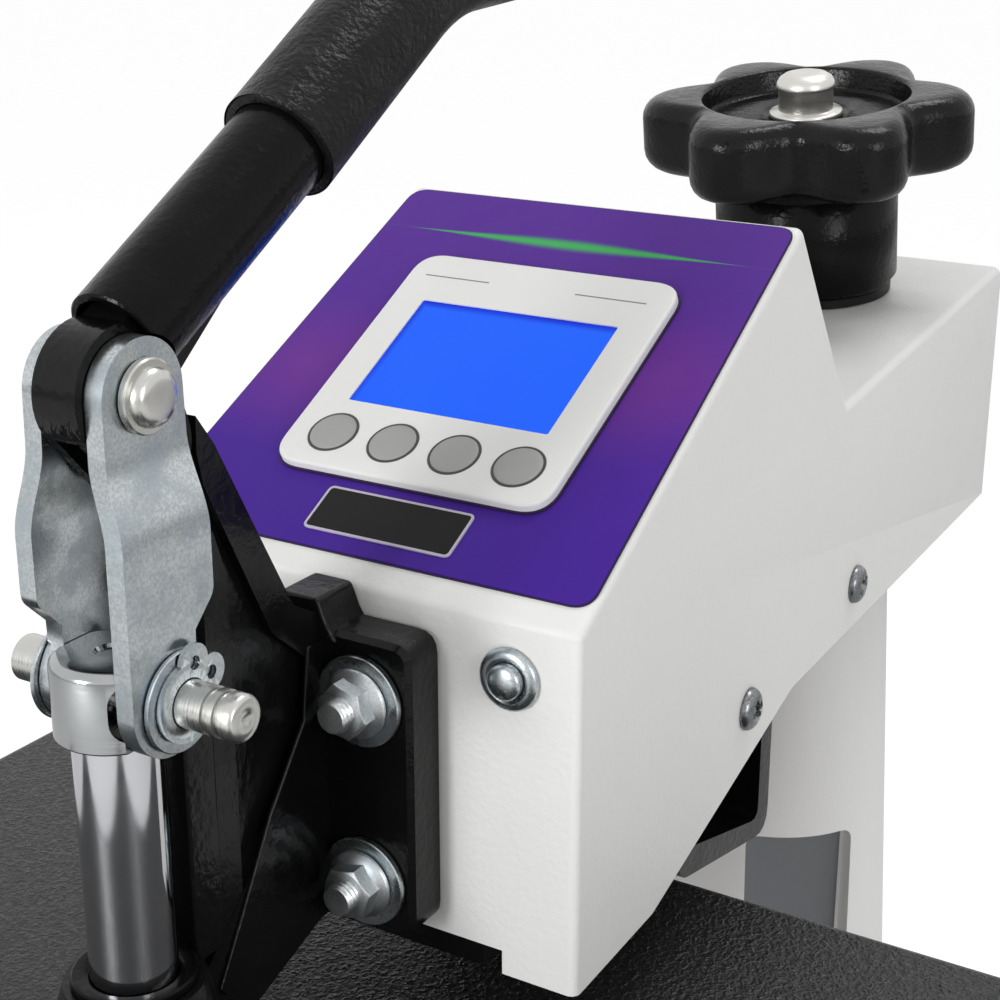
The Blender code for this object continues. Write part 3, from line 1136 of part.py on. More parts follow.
def make_shroud(carrier, look, axis):
    """The platen's cover, open below, standing on four pillars."""
    bottom = SHROUD_TOP - SHROUD_HEIGHT
    eased = SHROUD_ROUND * SHROUD_ROUND_SHARE
    rings = []
    for inset, height in ((0, bottom), (0, SHROUD_TOP - SHROUD_ROUND), (eased, SHROUD_TOP - eased),
                          (SHROUD_ROUND, SHROUD_TOP)):
        across = SHROUD_WIDTH / 2 - inset
        deep = SHROUD_DEPTH / 2 - inset
        outline = [(-across, ROD_Y - deep), (across, ROD_Y - deep), (across, ROD_Y + deep), (-across, ROD_Y + deep)]
        rings.append([(x, y, height) for x, y in rounded(outline, SHROUD_CORNER, 5)])
    shroud = add("platen_shroud", skin(rings), look, carrier)
    roof = SHROUD_TOP - SHROUD_WALL
    inner = (SHROUD_WIDTH - 2 * SHROUD_WALL, SHROUD_DEPTH - 2 * SHROUD_WALL)
    cut(shroud, slab((0, ROD_Y), inner, bottom - OVERRUN, roof, SHROUD_CORNER - SHROUD_WALL, 5))
    for across in (-1, 1):
        for along in (-1, 1):
            x = across * (SHROUD_WIDTH / 2 - SHROUD_PILLAR_INSET)
            y = ROD_Y + along * (SHROUD_DEPTH / 2 - SHROUD_PILLAR_INSET)
            pillar = turned([(SHROUD_PILLAR, BOARD_TOP + GAP), (SHROUD_PILLAR, roof + SHROUD_WALL / 2)], 12)
            fuse(shroud, moved(pillar, at(Vector((x, y, 0)))))
    hole = ROD_RADIUS + 2 * GAP
    cut(shroud, moved(turned([(hole, roof - OVERRUN), (hole, SHROUD_TOP + OVERRUN)], FINE), axis))


def knob_frame():
    """The knob's axis, from the rim's top."""
    return at(KNOB_TOP, Matrix.Rotation(KNOB_TILT, 4, "X"))


def knob_flat_drop():
    """How far the cover's rear flat lies below the knob's top, along the knob's axis."""
    corner = head(COVER_STEP_BACK, COVER_STEP_HEIGHT)
    normal = Matrix.Rotation(FLAT_SLOPE, 4, "X") @ Vector((0, 0, 1))
    return (KNOB_TOP - corner).dot(normal) / math.cos(KNOB_TILT - FLAT_SLOPE)


def flat_frame():
    """A frame square to the cover's rear flat, where the knob's axis meets it."""
    centre = knob_frame() @ Vector((0, 0, -knob_flat_drop()))
    return at(centre, Matrix.Rotation(FLAT_SLOPE, 4, "X"))


def lobed(inset, height, steps):
    """A ring of the knob's lobed outline, moved in by an inset."""
    ring = []
    middle = (KNOB_RADIUS + KNOB_VALLEY) / 2
    swell = (KNOB_RADIUS - KNOB_VALLEY) / 2
    for step in range(steps):
        degrees = 360 * step / steps
        wave = math.cos(math.radians(KNOB_LOBES * (degrees - KNOB_PHASE)))
        fuller = wave + LOBE_FULL_SHARE * (1 - wave * wave)
        ring.append((*polar(middle + swell * fuller - inset, degrees), height))
    return ring


def circle(radius, height, steps):
    """A round ring of points."""
    return [(*polar(radius, 360 * step / steps), height) for step in range(steps)]


def make_knob(carrier, body, looks):
    """The lobed hand knob, its cap nut and spindle, and the ring under it."""
    steps = KNOB_LOBES * LOBE_STEPS
    drop = knob_flat_drop()
    ring_top = KNOB_RING_HEIGHT + GAP
    barrel_bottom = ring_top + GAP + KNOB_BARREL * math.tan(KNOB_TILT - FLAT_SLOPE) - drop
    floor = -KNOB_DISH - KNOB_DISH_SLOPE
    hub = floor + KNOB_HUB_RISE
    eased = KNOB_ROUND * KNOB_EDGE_SHARE
    rings = [circle(KNOB_BARREL, barrel_bottom, steps), circle(KNOB_BARREL, GAP - KNOB_HEIGHT, steps),
             lobed(KNOB_ROUND * KNOB_UNDER_SHARE, -KNOB_HEIGHT, steps), lobed(eased, eased - KNOB_HEIGHT, steps),
             lobed(0, KNOB_ROUND - KNOB_HEIGHT, steps), lobed(0, -KNOB_ROUND, steps),
             lobed(eased, -eased, steps), lobed(KNOB_ROUND, 0, steps),
             circle(KNOB_OPENING, 0, steps), circle(KNOB_OPENING - KNOB_LIP, -KNOB_LIP, steps),
             circle(KNOB_OPENING - KNOB_LIP - GAP, -KNOB_DISH, steps),
             circle(KNOB_HUB_TOP + KNOB_HUB_RISE, floor, steps), circle(KNOB_HUB_TOP, hub, steps)]
    add("pressure_knob", moved(skin(rings), knob_frame()), looks["knob"], carrier)
    seat = hub + GAP
    step = seat + CAP_WASHER_HEIGHT
    profile = [(CAP_WASHER_RADIUS, seat), (CAP_WASHER_RADIUS, step), (CAP_RADIUS, step)]
    profile += [(CAP_RADIUS * out, seat + CAP_HEIGHT * up) for out, up in CAP_DOME_SHARES]
    add("knob_cap_nut", moved(turned(profile, MEDIUM), knob_frame()), looks["pin"], carrier)
    sleeve_top = KNOB_TOP.z - HEAD_Z - SLEEVE_TOP
    bottom = SPINDLE_RADIUS * math.tan(KNOB_TILT) + GAP - sleeve_top / math.cos(KNOB_TILT)
    spindle = turned([(SPINDLE_RADIUS, bottom), (SPINDLE_RADIUS, barrel_bottom - GAP)], COARSE)
    add("knob_spindle", moved(spindle, knob_frame()), looks["pin"], carrier)
    ring = [(KNOB_RING_BORE, GAP), (KNOB_RING_RADIUS, GAP), (KNOB_RING_RADIUS, ring_top), (KNOB_RING_BORE, ring_top)]
    add("knob_ring", moved(turned(ring, FINE, True), flat_frame()), looks["dark"], body)


def make_rear(carrier, looks):
    """The power switch and the mains inlet on the cover's rear wall."""
    wall = head(COVER_LENGTH, SWITCH_RISE)
    for name, across, width, height, depth, rim in (
            ("switch_frame", SWITCH_ACROSS, SWITCH_WIDTH, SWITCH_HEIGHT, SWITCH_DEPTH, SWITCH_WALL),
            ("power_inlet", -SWITCH_ACROSS, INLET_WIDTH, INLET_HEIGHT, INLET_DEPTH, INLET_WALL)):
        centre = Vector((across, wall.y, wall.z))
        face = rectangle(centre, width, height, 0)
        lip = prism(rounded(face, FITTING_ROUND, 3), wall.y + GAP, wall.y + SWITCH_LIP, "Y")
        part = add(name, lip, looks["dark"], carrier)
        body = rectangle(centre, width, height, SWITCH_LIP + GAP)
        fuse(part, prism(rounded(body, FITTING_ROUND, 3), wall.y - depth, wall.y + SWITCH_LIP / 2, "Y"))
        inner = rectangle(centre, width, height, SWITCH_LIP + GAP + rim)
        deep = INLET_POCKET if name == "power_inlet" else SWITCH_DEPTH - SWITCH_WALL
        cut(part, prism(inner, wall.y - deep, wall.y + OVERRUN, "Y"))
    place = Vector((SWITCH_ACROSS, wall.y - ROCKER_DEPTH / 2, wall.z))
    joint = pivot("power_rocker_hinge", place)
    joint.parent = carrier
    joint.location = place - carrier.location
    half_width = SWITCH_WIDTH / 2 - SWITCH_LIP - SWITCH_WALL - 2 * GAP
    half_height = SWITCH_HEIGHT / 2 - SWITCH_LIP - SWITCH_WALL - ROCKER_PROUD / 2
    side = [(-ROCKER_DEPTH, -half_height / 2), (-ROCKER_DEPTH, half_height / 2), (ROCKER_DEPTH / 2, half_height),
            (ROCKER_PROUD + ROCKER_DEPTH / 2, half_height), (ROCKER_DEPTH / 2 + ROCKER_PROUD / 2, 0),
            (ROCKER_PROUD + ROCKER_DEPTH / 2, -half_height), (ROCKER_DEPTH / 2, -half_height)]
    rocker = prism(side, -half_width, half_width)
    rocker = moved(rocker, at(place, Matrix.Rotation(math.radians(-ROCKER_TILT), 4, "X")))
    hang(add("power_rocker", rocker, looks["casting"]), joint, place)


def rectangle(centre, width, height, inset):
    """Corners in the rear wall's plane, as (X, Z)."""
    across = width / 2 - inset
    up = height / 2 - inset
    return [(centre.x - across, centre.z - up), (centre.x + across, centre.z - up),
            (centre.x + across, centre.z + up), (centre.x - across, centre.z + up)]


def make_looks():
    """Colours and finishes."""
    return {
        "white": material("white_powder_coat", (0.80, 0.80, 0.78), 0.5),
        "casting": material("black_gloss_casting", (0.012, 0.012, 0.013), 0.25),
        "tube": material("black_tube", (0.015, 0.015, 0.015), 0.3),
        "grip": material("black_grip", (0.02, 0.02, 0.021), 0.55),
        "dark": material("dark_plastic", (0.02, 0.02, 0.022), 0.4),
        "zinc": material("zinc_plate", (0.62, 0.64, 0.66), 0.3, 1.0),
        "pin": material("turned_steel", (0.7, 0.68, 0.64), 0.2, 1.0),
        "chrome": material("chromed_rod", (0.8, 0.8, 0.82), 0.06, 1.0),
        "knob": material("knob_phenolic", (0.01, 0.01, 0.01), 0.15),
        "purple": material("panel_purple", (0.08, 0.02, 0.28), 0.4),
        "ivory": material("bezel_plastic", (0.78, 0.77, 0.75), 0.4),
        "lcd": material("lcd_blue", (0.01, 0.10, 1.0), 0.2, 0.0, 1.0),
        "key": material("key_grey", (0.4, 0.4, 0.4), 0.5),
        "shroud": material("textured_black", (0.03, 0.03, 0.03), 0.45),
        "aluminium": material("plate_aluminium", (0.6, 0.6, 0.6), 0.35, 1.0),
        "board": material("insulation", (0.6, 0.55, 0.45), 0.9),
        "rubber": material("foot_rubber", (0.03, 0.03, 0.03), 0.8),
        "pad": material("pad_silicone", (0.55, 0.12, 0.08), 0.7),
    }


def main():
    for old in list(bpy.data.objects):
        bpy.data.objects.remove(old, do_unlink=True)
    looks = make_looks()
    make_base(looks["white"], looks["rubber"], looks["aluminium"], looks["pad"])
    make_post(looks["white"], looks["zinc"])
    swing = pivot("head_swing", SWING)
    make_arm(swing, looks["casting"])
    make_cover(swing, looks["white"])
    make_panel(swing, looks)
    make_button(swing, looks)
    front = make_bracket(swing, looks)
    make_fasteners(swing, front, looks["zinc"])
    make_rear(swing, looks)
    make_lever(pivot("lever_hinge", FULCRUM), looks)
    make_links(pivot("link_hinge", TOP_PIN), looks)
    make_platen(pivot("platen_slide", Vector((0, ROD_Y, PLATE_TOP))), looks)
    make_knob(pivot("knob_turn", KNOB_TOP), swing, looks)


main()
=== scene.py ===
"""Looks of a swing-away heat press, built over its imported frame.

Lengths are in metres. Each piece is made where it stands at rest, and then rides on a body.
"""
import json
import math

import bmesh
import bpy
from mathutils import Matrix, Vector

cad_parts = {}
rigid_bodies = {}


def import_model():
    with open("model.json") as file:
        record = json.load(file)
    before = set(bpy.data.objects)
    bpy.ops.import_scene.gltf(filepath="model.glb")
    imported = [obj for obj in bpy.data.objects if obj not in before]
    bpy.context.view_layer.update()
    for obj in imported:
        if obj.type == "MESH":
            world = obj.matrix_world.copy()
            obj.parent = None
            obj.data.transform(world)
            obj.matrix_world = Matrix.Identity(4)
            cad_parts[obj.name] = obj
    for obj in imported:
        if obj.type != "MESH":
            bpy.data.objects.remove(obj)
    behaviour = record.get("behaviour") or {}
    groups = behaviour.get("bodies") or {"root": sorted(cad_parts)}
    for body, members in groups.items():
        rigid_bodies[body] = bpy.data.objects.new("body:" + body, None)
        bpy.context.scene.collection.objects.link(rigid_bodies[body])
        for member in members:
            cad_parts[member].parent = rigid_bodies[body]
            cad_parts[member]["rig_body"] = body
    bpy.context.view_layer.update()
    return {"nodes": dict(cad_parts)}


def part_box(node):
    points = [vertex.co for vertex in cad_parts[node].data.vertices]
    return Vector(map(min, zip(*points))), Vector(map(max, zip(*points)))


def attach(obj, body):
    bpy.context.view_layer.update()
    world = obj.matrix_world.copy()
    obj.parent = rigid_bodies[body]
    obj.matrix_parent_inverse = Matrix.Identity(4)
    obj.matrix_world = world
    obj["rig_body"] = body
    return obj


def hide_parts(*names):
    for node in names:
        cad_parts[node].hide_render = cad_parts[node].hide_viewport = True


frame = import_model()

MM = 0.001

# Places on the machine
ROD_Y = -138.1 * MM
POST_Y = 257.5 * MM
HEAD_Y = -52.5 * MM
HEAD_Z = 325.577 * MM
PLATE_TOP = 249.077 * MM
FULCRUM = Vector((0, -125.6 * MM, 486.977 * MM))
TOP_PIN = Vector((0, -134.6 * MM, 502.565 * MM))
CROSS_PIN = Vector((0, -134.6 * MM, 431.265 * MM))
KNOB_TOP = Vector((0, 256.4 * MM, 526.477 * MM))
PANEL_LENGTH = 164.8 * MM
COVER_BEND = 104.1 * MM
COVER_TAPER = 0.041
COVER_WALL = 1.6 * MM
PIVOT_RADIUS = 22 * MM
PIVOT_LENGTH = 62 * MM

# Slopes and leans, in degrees
KNOB_TILT = 8.2
FLAT_SLOPE = 3.892
PANEL_SLOPE = 28.56
HANDLE_RISE = 30.2
POCKET_TURN = 39.4
SHARP_ANGLE = 38.0
FLAT_ANGLE = 0.6

# Camera of the photograph
CAMERA_EYE = Vector((0.2825, -0.4286, 0.6142))
CAMERA_AZIMUTH = math.radians(31.51)
CAMERA_ELEVATION = math.radians(19.07)
CAMERA_LENS = 67.65
CAMERA_SENSOR = 36

# Lamps: name, place, aim, size and power
LAMPS = (
    ("key", (-0.6, -2.8, 1.0), (0, -0.1, 0.35), (0.8, 0.9), 46),
    ("fill", (1.7, -0.8, 0.9), (0, 0, 0.35), (0.45, 0.8), 8.5),
    ("top", (0.2, 0.7, 1.8), (0, 0, 0.4), (0.7, 0.5), 7),
)
AMBIENT_LIGHT = 0.50
FLOOR_TONE = 0.86
FLOOR_GLOW = 1.26
FLOOR_GLOW_SHARE = 0.66


# Shapes

def mm(table):
    """Metres, from a number of millimetres or a table of them."""
    if isinstance(table, (list, tuple)):
        return [mm(item) for item in table]
    return table * MM


def polar(radius, degrees):
    """A point in the plane, from its radius and angle."""
    return radius * math.cos(math.radians(degrees)), radius * math.sin(math.radians(degrees))


def spun(degrees, axis="Z"):
    """A turn about an axis."""
    return Matrix.Rotation(math.radians(degrees), 4, axis)


def at(place, turn=None):
    """A matrix that turns and then moves."""
    return Matrix.Translation(place) @ (turn or Matrix.Identity(4))


LAY_ALONG_X = spun(90, "Y")
FACE_FRONT = spun(90, "X")
ON_PANEL = at((0, HEAD_Y, HEAD_Z + COVER_BEND), spun(PANEL_SLOPE, "X"))
BUTTON_AXIS = at((55.2 * MM, HEAD_Y, HEAD_Z + 88.5 * MM), FACE_FRONT)


def arc(centre, radius, first, last, steps):
    """Points along an arc, from one angle to another."""
    points = []
    for step in range(steps + 1):
        across, up = polar(radius, first + (last - first) * step / steps)
        points.append((centre[0] + across, centre[1] + up))
    return points


def circle(radius, height, steps):
    """A round ring of points."""
    return [(*polar(radius, 360 * step / steps), height) for step in range(steps)]


def rounded(points, radii, steps=8):
    """A polygon whose corners are round; radii is one value or one for each corner."""
    count = len(points)
    if not isinstance(radii, (list, tuple)):
        radii = [radii] * count
    outline = []
    for index, corner in enumerate(points):
        here = Vector(corner)
        before = Vector(points[index - 1]) - here
        after = Vector(points[(index + 1) % count]) - here
        if radii[index] <= 0:
            outline.append(tuple(here))
            continue
        reach = radii[index] / math.tan(before.angle(after) / 2)
        reach = min(reach, before.length / 2, after.length / 2)
        start = here + before.normalized() * reach
        end = here + after.normalized() * reach
        for step in range(steps + 1):
            share = step / steps
            outline.append(tuple(start.lerp(here, share).lerp(here.lerp(end, share), share)))
    return outline


def skin(rings, closed=False):
    """Faces between rings of points, with caps at the ends unless it closes on itself."""
    bm = bmesh.new()
    rows = [[bm.verts.new(point) for point in ring] for ring in rings]
    pairs = list(zip(rows, rows[1:]))
    if closed:
        pairs.append((rows[-1], rows[0]))
    else:
        bm.faces.new(list(reversed(rows[0])))
        bm.faces.new(rows[-1])
    for lower, upper in pairs:
        count = len(lower)
        for index in range(count):
            after = (index + 1) % count
            bm.faces.new((lower[index], lower[after], upper[after], upper[index]))
    return bm


def turned(profile, steps=96, closed=False):
    """A shape turned about Z, from (radius, height) points."""
    return skin([circle(radius, height, steps) for radius, height in profile], closed)


def drum(radius, low, high, steps=64):
    """A round bar along Z, for cutting with."""
    return turned([(radius, low), (radius, high)], steps)


def prism(points, low, high, axis="X"):
    """A flat outline pushed out along an axis."""
    slot = "XYZ".index(axis)
    return skin([[(*point[:slot], along, *point[slot:]) for point in points] for along in (low, high)])


def box(low, high):
    """A box between two corners, for cutting with."""
    corners = [(low[0], low[1]), (high[0], low[1]), (high[0], high[1]), (low[0], high[1])]
    return prism(corners, low[2], high[2], "Z")


def rectangle(centre, size):
    """Corners of a rectangle about a centre."""
    corners = ((-1, -1), (1, -1), (1, 1), (-1, 1))
    return [(centre[0] + across * size[0] / 2, centre[1] + up * size[1] / 2) for across, up in corners]


def from_head(table):
    """An outline in millimetres from the foot of the cover's front, as (back, rise)."""
    return [(HEAD_Y + back * MM, HEAD_Z + rise * MM) for back, rise in table]


def moved(bm, matrix):
    """The same shape, placed by a matrix."""
    bmesh.ops.transform(bm, matrix=matrix, verts=bm.verts)
    return bm


def meshed(name, bm):
    """A mesh from a shape, with its faces turned outwards."""
    bmesh.ops.recalc_face_normals(bm, faces=bm.faces)
    mesh = bpy.data.meshes.new(name)
    bm.to_mesh(mesh)
    bm.free()
    return mesh


def joined(*shapes):
    """Several shapes in one mesh."""
    whole = bmesh.new()
    for shape in shapes:
        mesh = meshed("part", shape)
        whole.from_mesh(mesh)
        bpy.data.meshes.remove(mesh)
    return whole


def linked(name, data):
    """A new object in the scene."""
    made = bpy.data.objects.new(name, data)
    bpy.context.scene.collection.objects.link(made)
    return made


def sharpen(made, degrees=SHARP_ANGLE):
    """Keeps the edges crisp that fold more than an angle."""
    made.data.set_sharp_from_angle(angle=math.radians(degrees))


def piece(name, bm, surface, body, replaces=(), edge=0.0, segments=3, sharp=SHARP_ANGLE):
    """An object with its surface, riding on a body. An edge width rounds its corners."""
    made = linked(name, meshed(name, bm))
    made.data.materials.append(surface)
    made.data.shade_smooth()
    if edge:
        bevel = made.modifiers.new("Edges", "BEVEL")
        bevel.width = edge
        bevel.segments = segments
        bevel.limit_method = "ANGLE"
        bevel.angle_limit = math.radians(sharp)
        bevel.use_clamp_overlap = True
        made.modifiers.new("Normals", "WEIGHTED_NORMAL").weight = 60
    else:
        sharpen(made, sharp)
    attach(made, body)
    for node in replaces:
        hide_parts(node)
    return made


def wear(node, surface):
    """Puts a node material on a CAD node."""
    materials = frame["nodes"][node].data.materials
    materials.clear()
    materials.append(surface)


def shell(node, bm, surface, edge=0.0, segments=3, sharp=SHARP_ANGLE, name=None):
    """A piece that takes a CAD node's place, on the node's own body."""
    wear(node, surface)
    body = frame["nodes"][node]["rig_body"]
    return piece(name or node + "_shell", bm, surface, body, [node], edge, segments, sharp)


def dressed(node, surface, edge, segments=3, sharp=30.0):
    """A CAD node's shape with its facets merged and its edges rounded, in its place."""
    source = frame["nodes"][node].data
    bm = bmesh.new()
    verts = [bm.verts.new(vert.co) for vert in source.vertices]
    for face in source.polygons:
        bm.faces.new([verts[index] for index in face.vertices])
    bmesh.ops.remove_doubles(bm, verts=bm.verts, dist=2e-6)
    bmesh.ops.dissolve_limit(bm, angle_limit=math.radians(FLAT_ANGLE), verts=bm.verts, edges=bm.edges)
    return shell(node, bm, surface, edge, segments, sharp)


def carve(target, bm, operation="DIFFERENCE"):
    """Cuts or joins another shape at once, and leaves no cutter behind."""
    cutter = linked("cutter", meshed("cutter", bm))
    for modifier in target.modifiers:
        modifier.show_viewport = False
    change = target.modifiers.new("Carve", "BOOLEAN")
    change.operation = operation
    change.solver = "EXACT"
    change.object = cutter
    bpy.context.view_layer.update()
    graph = bpy.context.evaluated_depsgraph_get()
    shaped = bpy.data.meshes.new_from_object(target.evaluated_get(graph))
    target.modifiers.remove(change)
    for modifier in target.modifiers:
        modifier.show_viewport = True
    target.data = shaped
    bpy.data.meshes.remove(cutter.data)


# Materials

def put(tree, socket, value):
    """Gives a socket its value, or links it to another node's output."""
    if isinstance(value, bpy.types.NodeSocket):
        tree.links.new(value, socket)
    elif socket.type == "RGBA":
        socket.default_value = (*value, 1.0)
    else:
        socket.default_value = value


def wired(tree, kind, inputs, **settings):
    """A new node's outputs, once its settings and its inputs are in place."""
    made = tree.nodes.new(kind)
    for name, value in settings.items():
        setattr(made, name, value)
    for name, value in inputs.items():
        put(tree, made.inputs[name], value)
    return made.outputs


class Surface:
    """A node material under construction, with helpers for its patterns."""

    def __init__(self, name, slot, colour, roughness, metallic=0.0, specular=0.5):
        self.material = bpy.data.materials.new(name)
        self.material["slot"] = slot
        self.material.use_nodes = True
        self.tree = self.material.node_tree
        self.set("Base Color", colour)
        self.set("Roughness", roughness)
        self.set("Metallic", metallic)
        self.set("Specular IOR Level", specular)
        self.coordinates = self.node("TexCoord", {})["Object"]
        self.normal = None

    def set(self, name, value):
        """Gives one of the shader's sockets its value or its link."""
        put(self.tree, self.tree.nodes["Principled BSDF"].inputs[name], value)

    def node(self, kind, inputs, **settings):
        """A new node's outputs."""
        return wired(self.tree, "ShaderNode" + kind, inputs, **settings)

    def stretched(self, scale):
        """The object's coordinates, scaled differently along each axis."""
        return self.node("Mapping", {"Vector": self.coordinates, "Scale": scale})["Vector"]

    def noise(self, scale, detail=2.0, roughness=0.5, distortion=0.0, source=None):
        """A noise pattern's strength."""
        inputs = {"Vector": source or self.coordinates, "Scale": scale, "Detail": detail}
        inputs.update({"Roughness": roughness, "Distortion": distortion})
        return self.node("TexNoise", inputs)["Fac"]

    def spread(self, source, low, high, new_low, new_high):
        """Maps one range of values onto another."""
        inputs = {"Value": source, "From Min": low, "From Max": high, "To Min": new_low, "To Max": new_high}
        return self.node("MapRange", inputs, interpolation_type="SMOOTHSTEP")["Result"]

    def maths(self, operation, first, second=0.0):
        """Arithmetic on values or sockets."""
        return self.node("Math", {0: first, 1: second}, operation=operation)["Value"]

    def blend(self, factor, first, second):
        """A colour between two others."""
        return self.node("Mix", {0: factor, 6: first, 7: second}, data_type="RGBA")[2]

    def colour(self, factor, first, second):
        """Makes the base colour run between two others."""
        self.set("Base Color", self.blend(factor, first, second))

    def rough(self, pattern, new_low, new_high, low=0.3, high=0.7):
        """Makes the roughness follow a pattern."""
        self.set("Roughness", self.spread(pattern, low, high, new_low, new_high))

    def bump(self, height, strength, distance):
        """Adds relief on top of what is already there."""
        inputs = {"Height": height, "Strength": strength, "Distance": distance}
        if self.normal:
            inputs["Normal"] = self.normal
        self.normal = self.node("Bump", inputs)["Normal"]
        self.set("Normal", self.normal)


def shades(colour, *factors):
    """The same colour made darker or lighter, once for each factor."""
    return [tuple(min(1.0, part * factor) for part in colour) for factor in factors]


def powder_coat():
    """White powder coat with its fine pebbled skin."""
    made = Surface("white_powder_coat", "white_powder_coat", (0.80, 0.80, 0.785), 0.5, 0.0, 0.35)
    made.colour(made.noise(9, 3), (0.775, 0.772, 0.755), (0.815, 0.815, 0.80))
    made.rough(made.noise(60), 0.40, 0.55)
    made.bump(made.noise(480), 0.6, 0.24 * MM)
    made.bump(made.noise(1500, 1), 0.3, 0.06 * MM)
    return made.material


def gloss_black(name, slot, grain, depth, low, high, tone, specular):
    """Black paint or plastic with an orange-peel skin."""
    made = Surface(name, slot, (tone, tone, tone), low, 0.0, specular)
    made.colour(made.noise(35, 3), (tone * 0.7,) * 3, (tone * 1.5, tone * 1.5, tone * 1.45))
    made.rough(made.noise(grain / 6, 3), low, high)
    made.bump(made.noise(grain), 0.7, depth)
    made.bump(made.noise(grain / 5), 0.4, depth * 2.5)
    return made.material


def leather_black():
    """The textured black skin of the platen's cover."""
    made = Surface("textured_black", "shroud", (0.012, 0.012, 0.012), 0.3, 0.0, 0.32)
    worms = made.noise(620, 2, 0.5, 0.5)
    pits = made.node("TexVoronoi", {"Scale": 1100, "Vector": made.coordinates}, feature="SMOOTH_F1")
    made.colour(worms, (0.006, 0.006, 0.006), (0.022, 0.022, 0.022))
    made.rough(worms, 0.42, 0.24, 0.35, 0.65)
    made.bump(worms, 1.0, 0.9 * MM)
    made.bump(pits["Distance"], 0.5, 0.3 * MM)
    return made.material


def zinc_plate(name="zinc_plate", dark=(0.42, 0.46, 0.475), light=(0.60, 0.63, 0.635), low=0.20, high=0.36):
    """Zinc plate, mottled by its fine crystals and clouded by broader patches."""
    made = Surface(name, "zinc", light, 0.35, 1.0)
    clouds = made.noise(70, 5, 0.65)
    base = made.blend(made.spread(made.noise(1300, 4, 0.7), 0.36, 0.64, 0, 1), dark, light)
    cloud = (dark[0] * 0.8, dark[1] * 0.85, dark[2] * 0.9)
    made.colour(made.spread(clouds, 0.4, 0.66, 0, 0.65), base, cloud)
    made.rough(clouds, low, high)
    made.bump(made.noise(1000, 3), 0.3, 0.03 * MM)
    made.bump(made.noise(90), 0.3, 0.15 * MM)
    return made.material


def turned_steel(name, slot, axis, colour, low, high, relief=0.02):
    """Steel from the lathe, with tool marks round its axis."""
    made = Surface(name, slot, colour, low, 1.0)
    scale = [40, 40, 40]
    scale[axis] = 2600
    marks = made.noise(1.0, 2, 0.6, 0.0, made.stretched(scale))
    made.rough(marks, low, high)
    made.bump(marks, 0.4, relief * MM)
    made.colour(made.noise(120, 3), *shades(colour, 0.85, 1.1))
    return made.material


def chrome():
    """The ground and chromed rod, polished nearly to a mirror."""
    made = Surface("chromed_rod", "chrome", (0.60, 0.61, 0.63), 0.08, 1.0)
    made.rough(made.noise(60, 3), 0.07, 0.13)
    made.colour(made.noise(50), (0.56, 0.57, 0.60), (0.65, 0.66, 0.68))
    return made.material


def panel_coordinates(made):
    """Across the panel and up its slope, in metres from its lower middle."""
    inputs = {"Vector": made.coordinates, "Location": (0, HEAD_Y, HEAD_Z + COVER_BEND)}
    inputs["Rotation"] = (math.radians(PANEL_SLOPE), 0, 0)
    along = made.node("Mapping", inputs, vector_type="TEXTURE")["Vector"]
    split = made.node("SeparateXYZ", {"Vector": along})
    return split["X"], split["Y"]


def glow(made, across, up, centre, radius):
    """A soft round patch, strongest at its centre."""
    squares = []
    for coordinate, middle in zip((across, up), centre):
        off = made.maths("SUBTRACT", coordinate, middle)
        squares.append(made.maths("MULTIPLY", off, off))
    return made.spread(made.maths("SQRT", made.maths("ADD", *squares)), 0.0, radius, 1.0, 0.0)


def printed_film():
    """The purple overlay: a gradient, two warmer patches and a green streak."""
    made = Surface("panel_purple", "panel_purple", (0.09, 0.025, 0.28), 0.42, 0.0, 0.12)
    across, up = panel_coordinates(made)
    rise = made.spread(up, 10 * MM, 160 * MM, 0, 1)
    ground = made.blend(rise, (0.056, 0.016, 0.270), (0.088, 0.024, 0.265))
    for centre in mm(((57, 92), (-56, 76))):
        ground = made.blend(glow(made, across, up, centre, 40 * MM), ground, (0.132, 0.029, 0.262))
    aside = made.maths("ABSOLUTE", made.maths("SUBTRACT", across, 0.8 * MM))
    half = made.spread(aside, 0.0, 62 * MM, 3.6 * MM, 0.0)
    off = made.maths("ABSOLUTE", made.maths("SUBTRACT", up, 143.0 * MM))
    reach = made.maths("DIVIDE", off, made.maths("ADD", half, 0.02 * MM))
    green = made.blend(made.spread(reach, 0.0, 0.8, 0, 1), (0.055, 0.42, 0.085), (0.05, 0.20, 0.16))
    made.colour(made.spread(reach, 0.25, 1.0, 0.92, 0.0), ground, green)
    made.rough(made.noise(90), 0.36, 0.46)
    made.bump(made.noise(1400), 0.15, 0.03 * MM)
    return made.material


def lit_display():
    """The blue backlight, with painted shade of the bezel along its top and left edges."""
    made = Surface("lcd_blue", "lcd", (0.002, 0.006, 0.05), 0.2, 0.0, 0.05)
    across, up = panel_coordinates(made)
    # Painted shade: the display darkens in narrow bands along its top and left edges, where the bezel's shade
    # falls.
    top = made.spread(up, 103.5 * MM, 106.5 * MM, 0, 1)
    left = made.spread(across, -31.5 * MM, -29.2 * MM, 1, 0)
    shade = made.maths("MAXIMUM", top, made.maths("MULTIPLY", left, 0.8))
    tint = made.blend(shade, (0.016, 0.128, 0.96), (0.006, 0.030, 0.62))
    tint = made.blend(made.spread(made.noise(22), 0.35, 0.7, 0, 0.5), tint, (0.013, 0.112, 0.98))
    made.set("Emission Color", tint)
    made.set("Emission Strength", 0.97)
    return made.material


def plain(name, slot, colour, low, high, grain=900, depth=0.03, specular=0.5, vary=0.06):
    """A moulded surface with slight variation."""
    made = Surface(name, slot, colour, low, 0.0, specular)
    made.colour(made.noise(45, 3), *shades(colour, 1 - vary, 1 + vary))
    made.rough(made.noise(grain / 5), low, high)
    made.bump(made.noise(grain), 0.3, depth * MM)
    return made.material


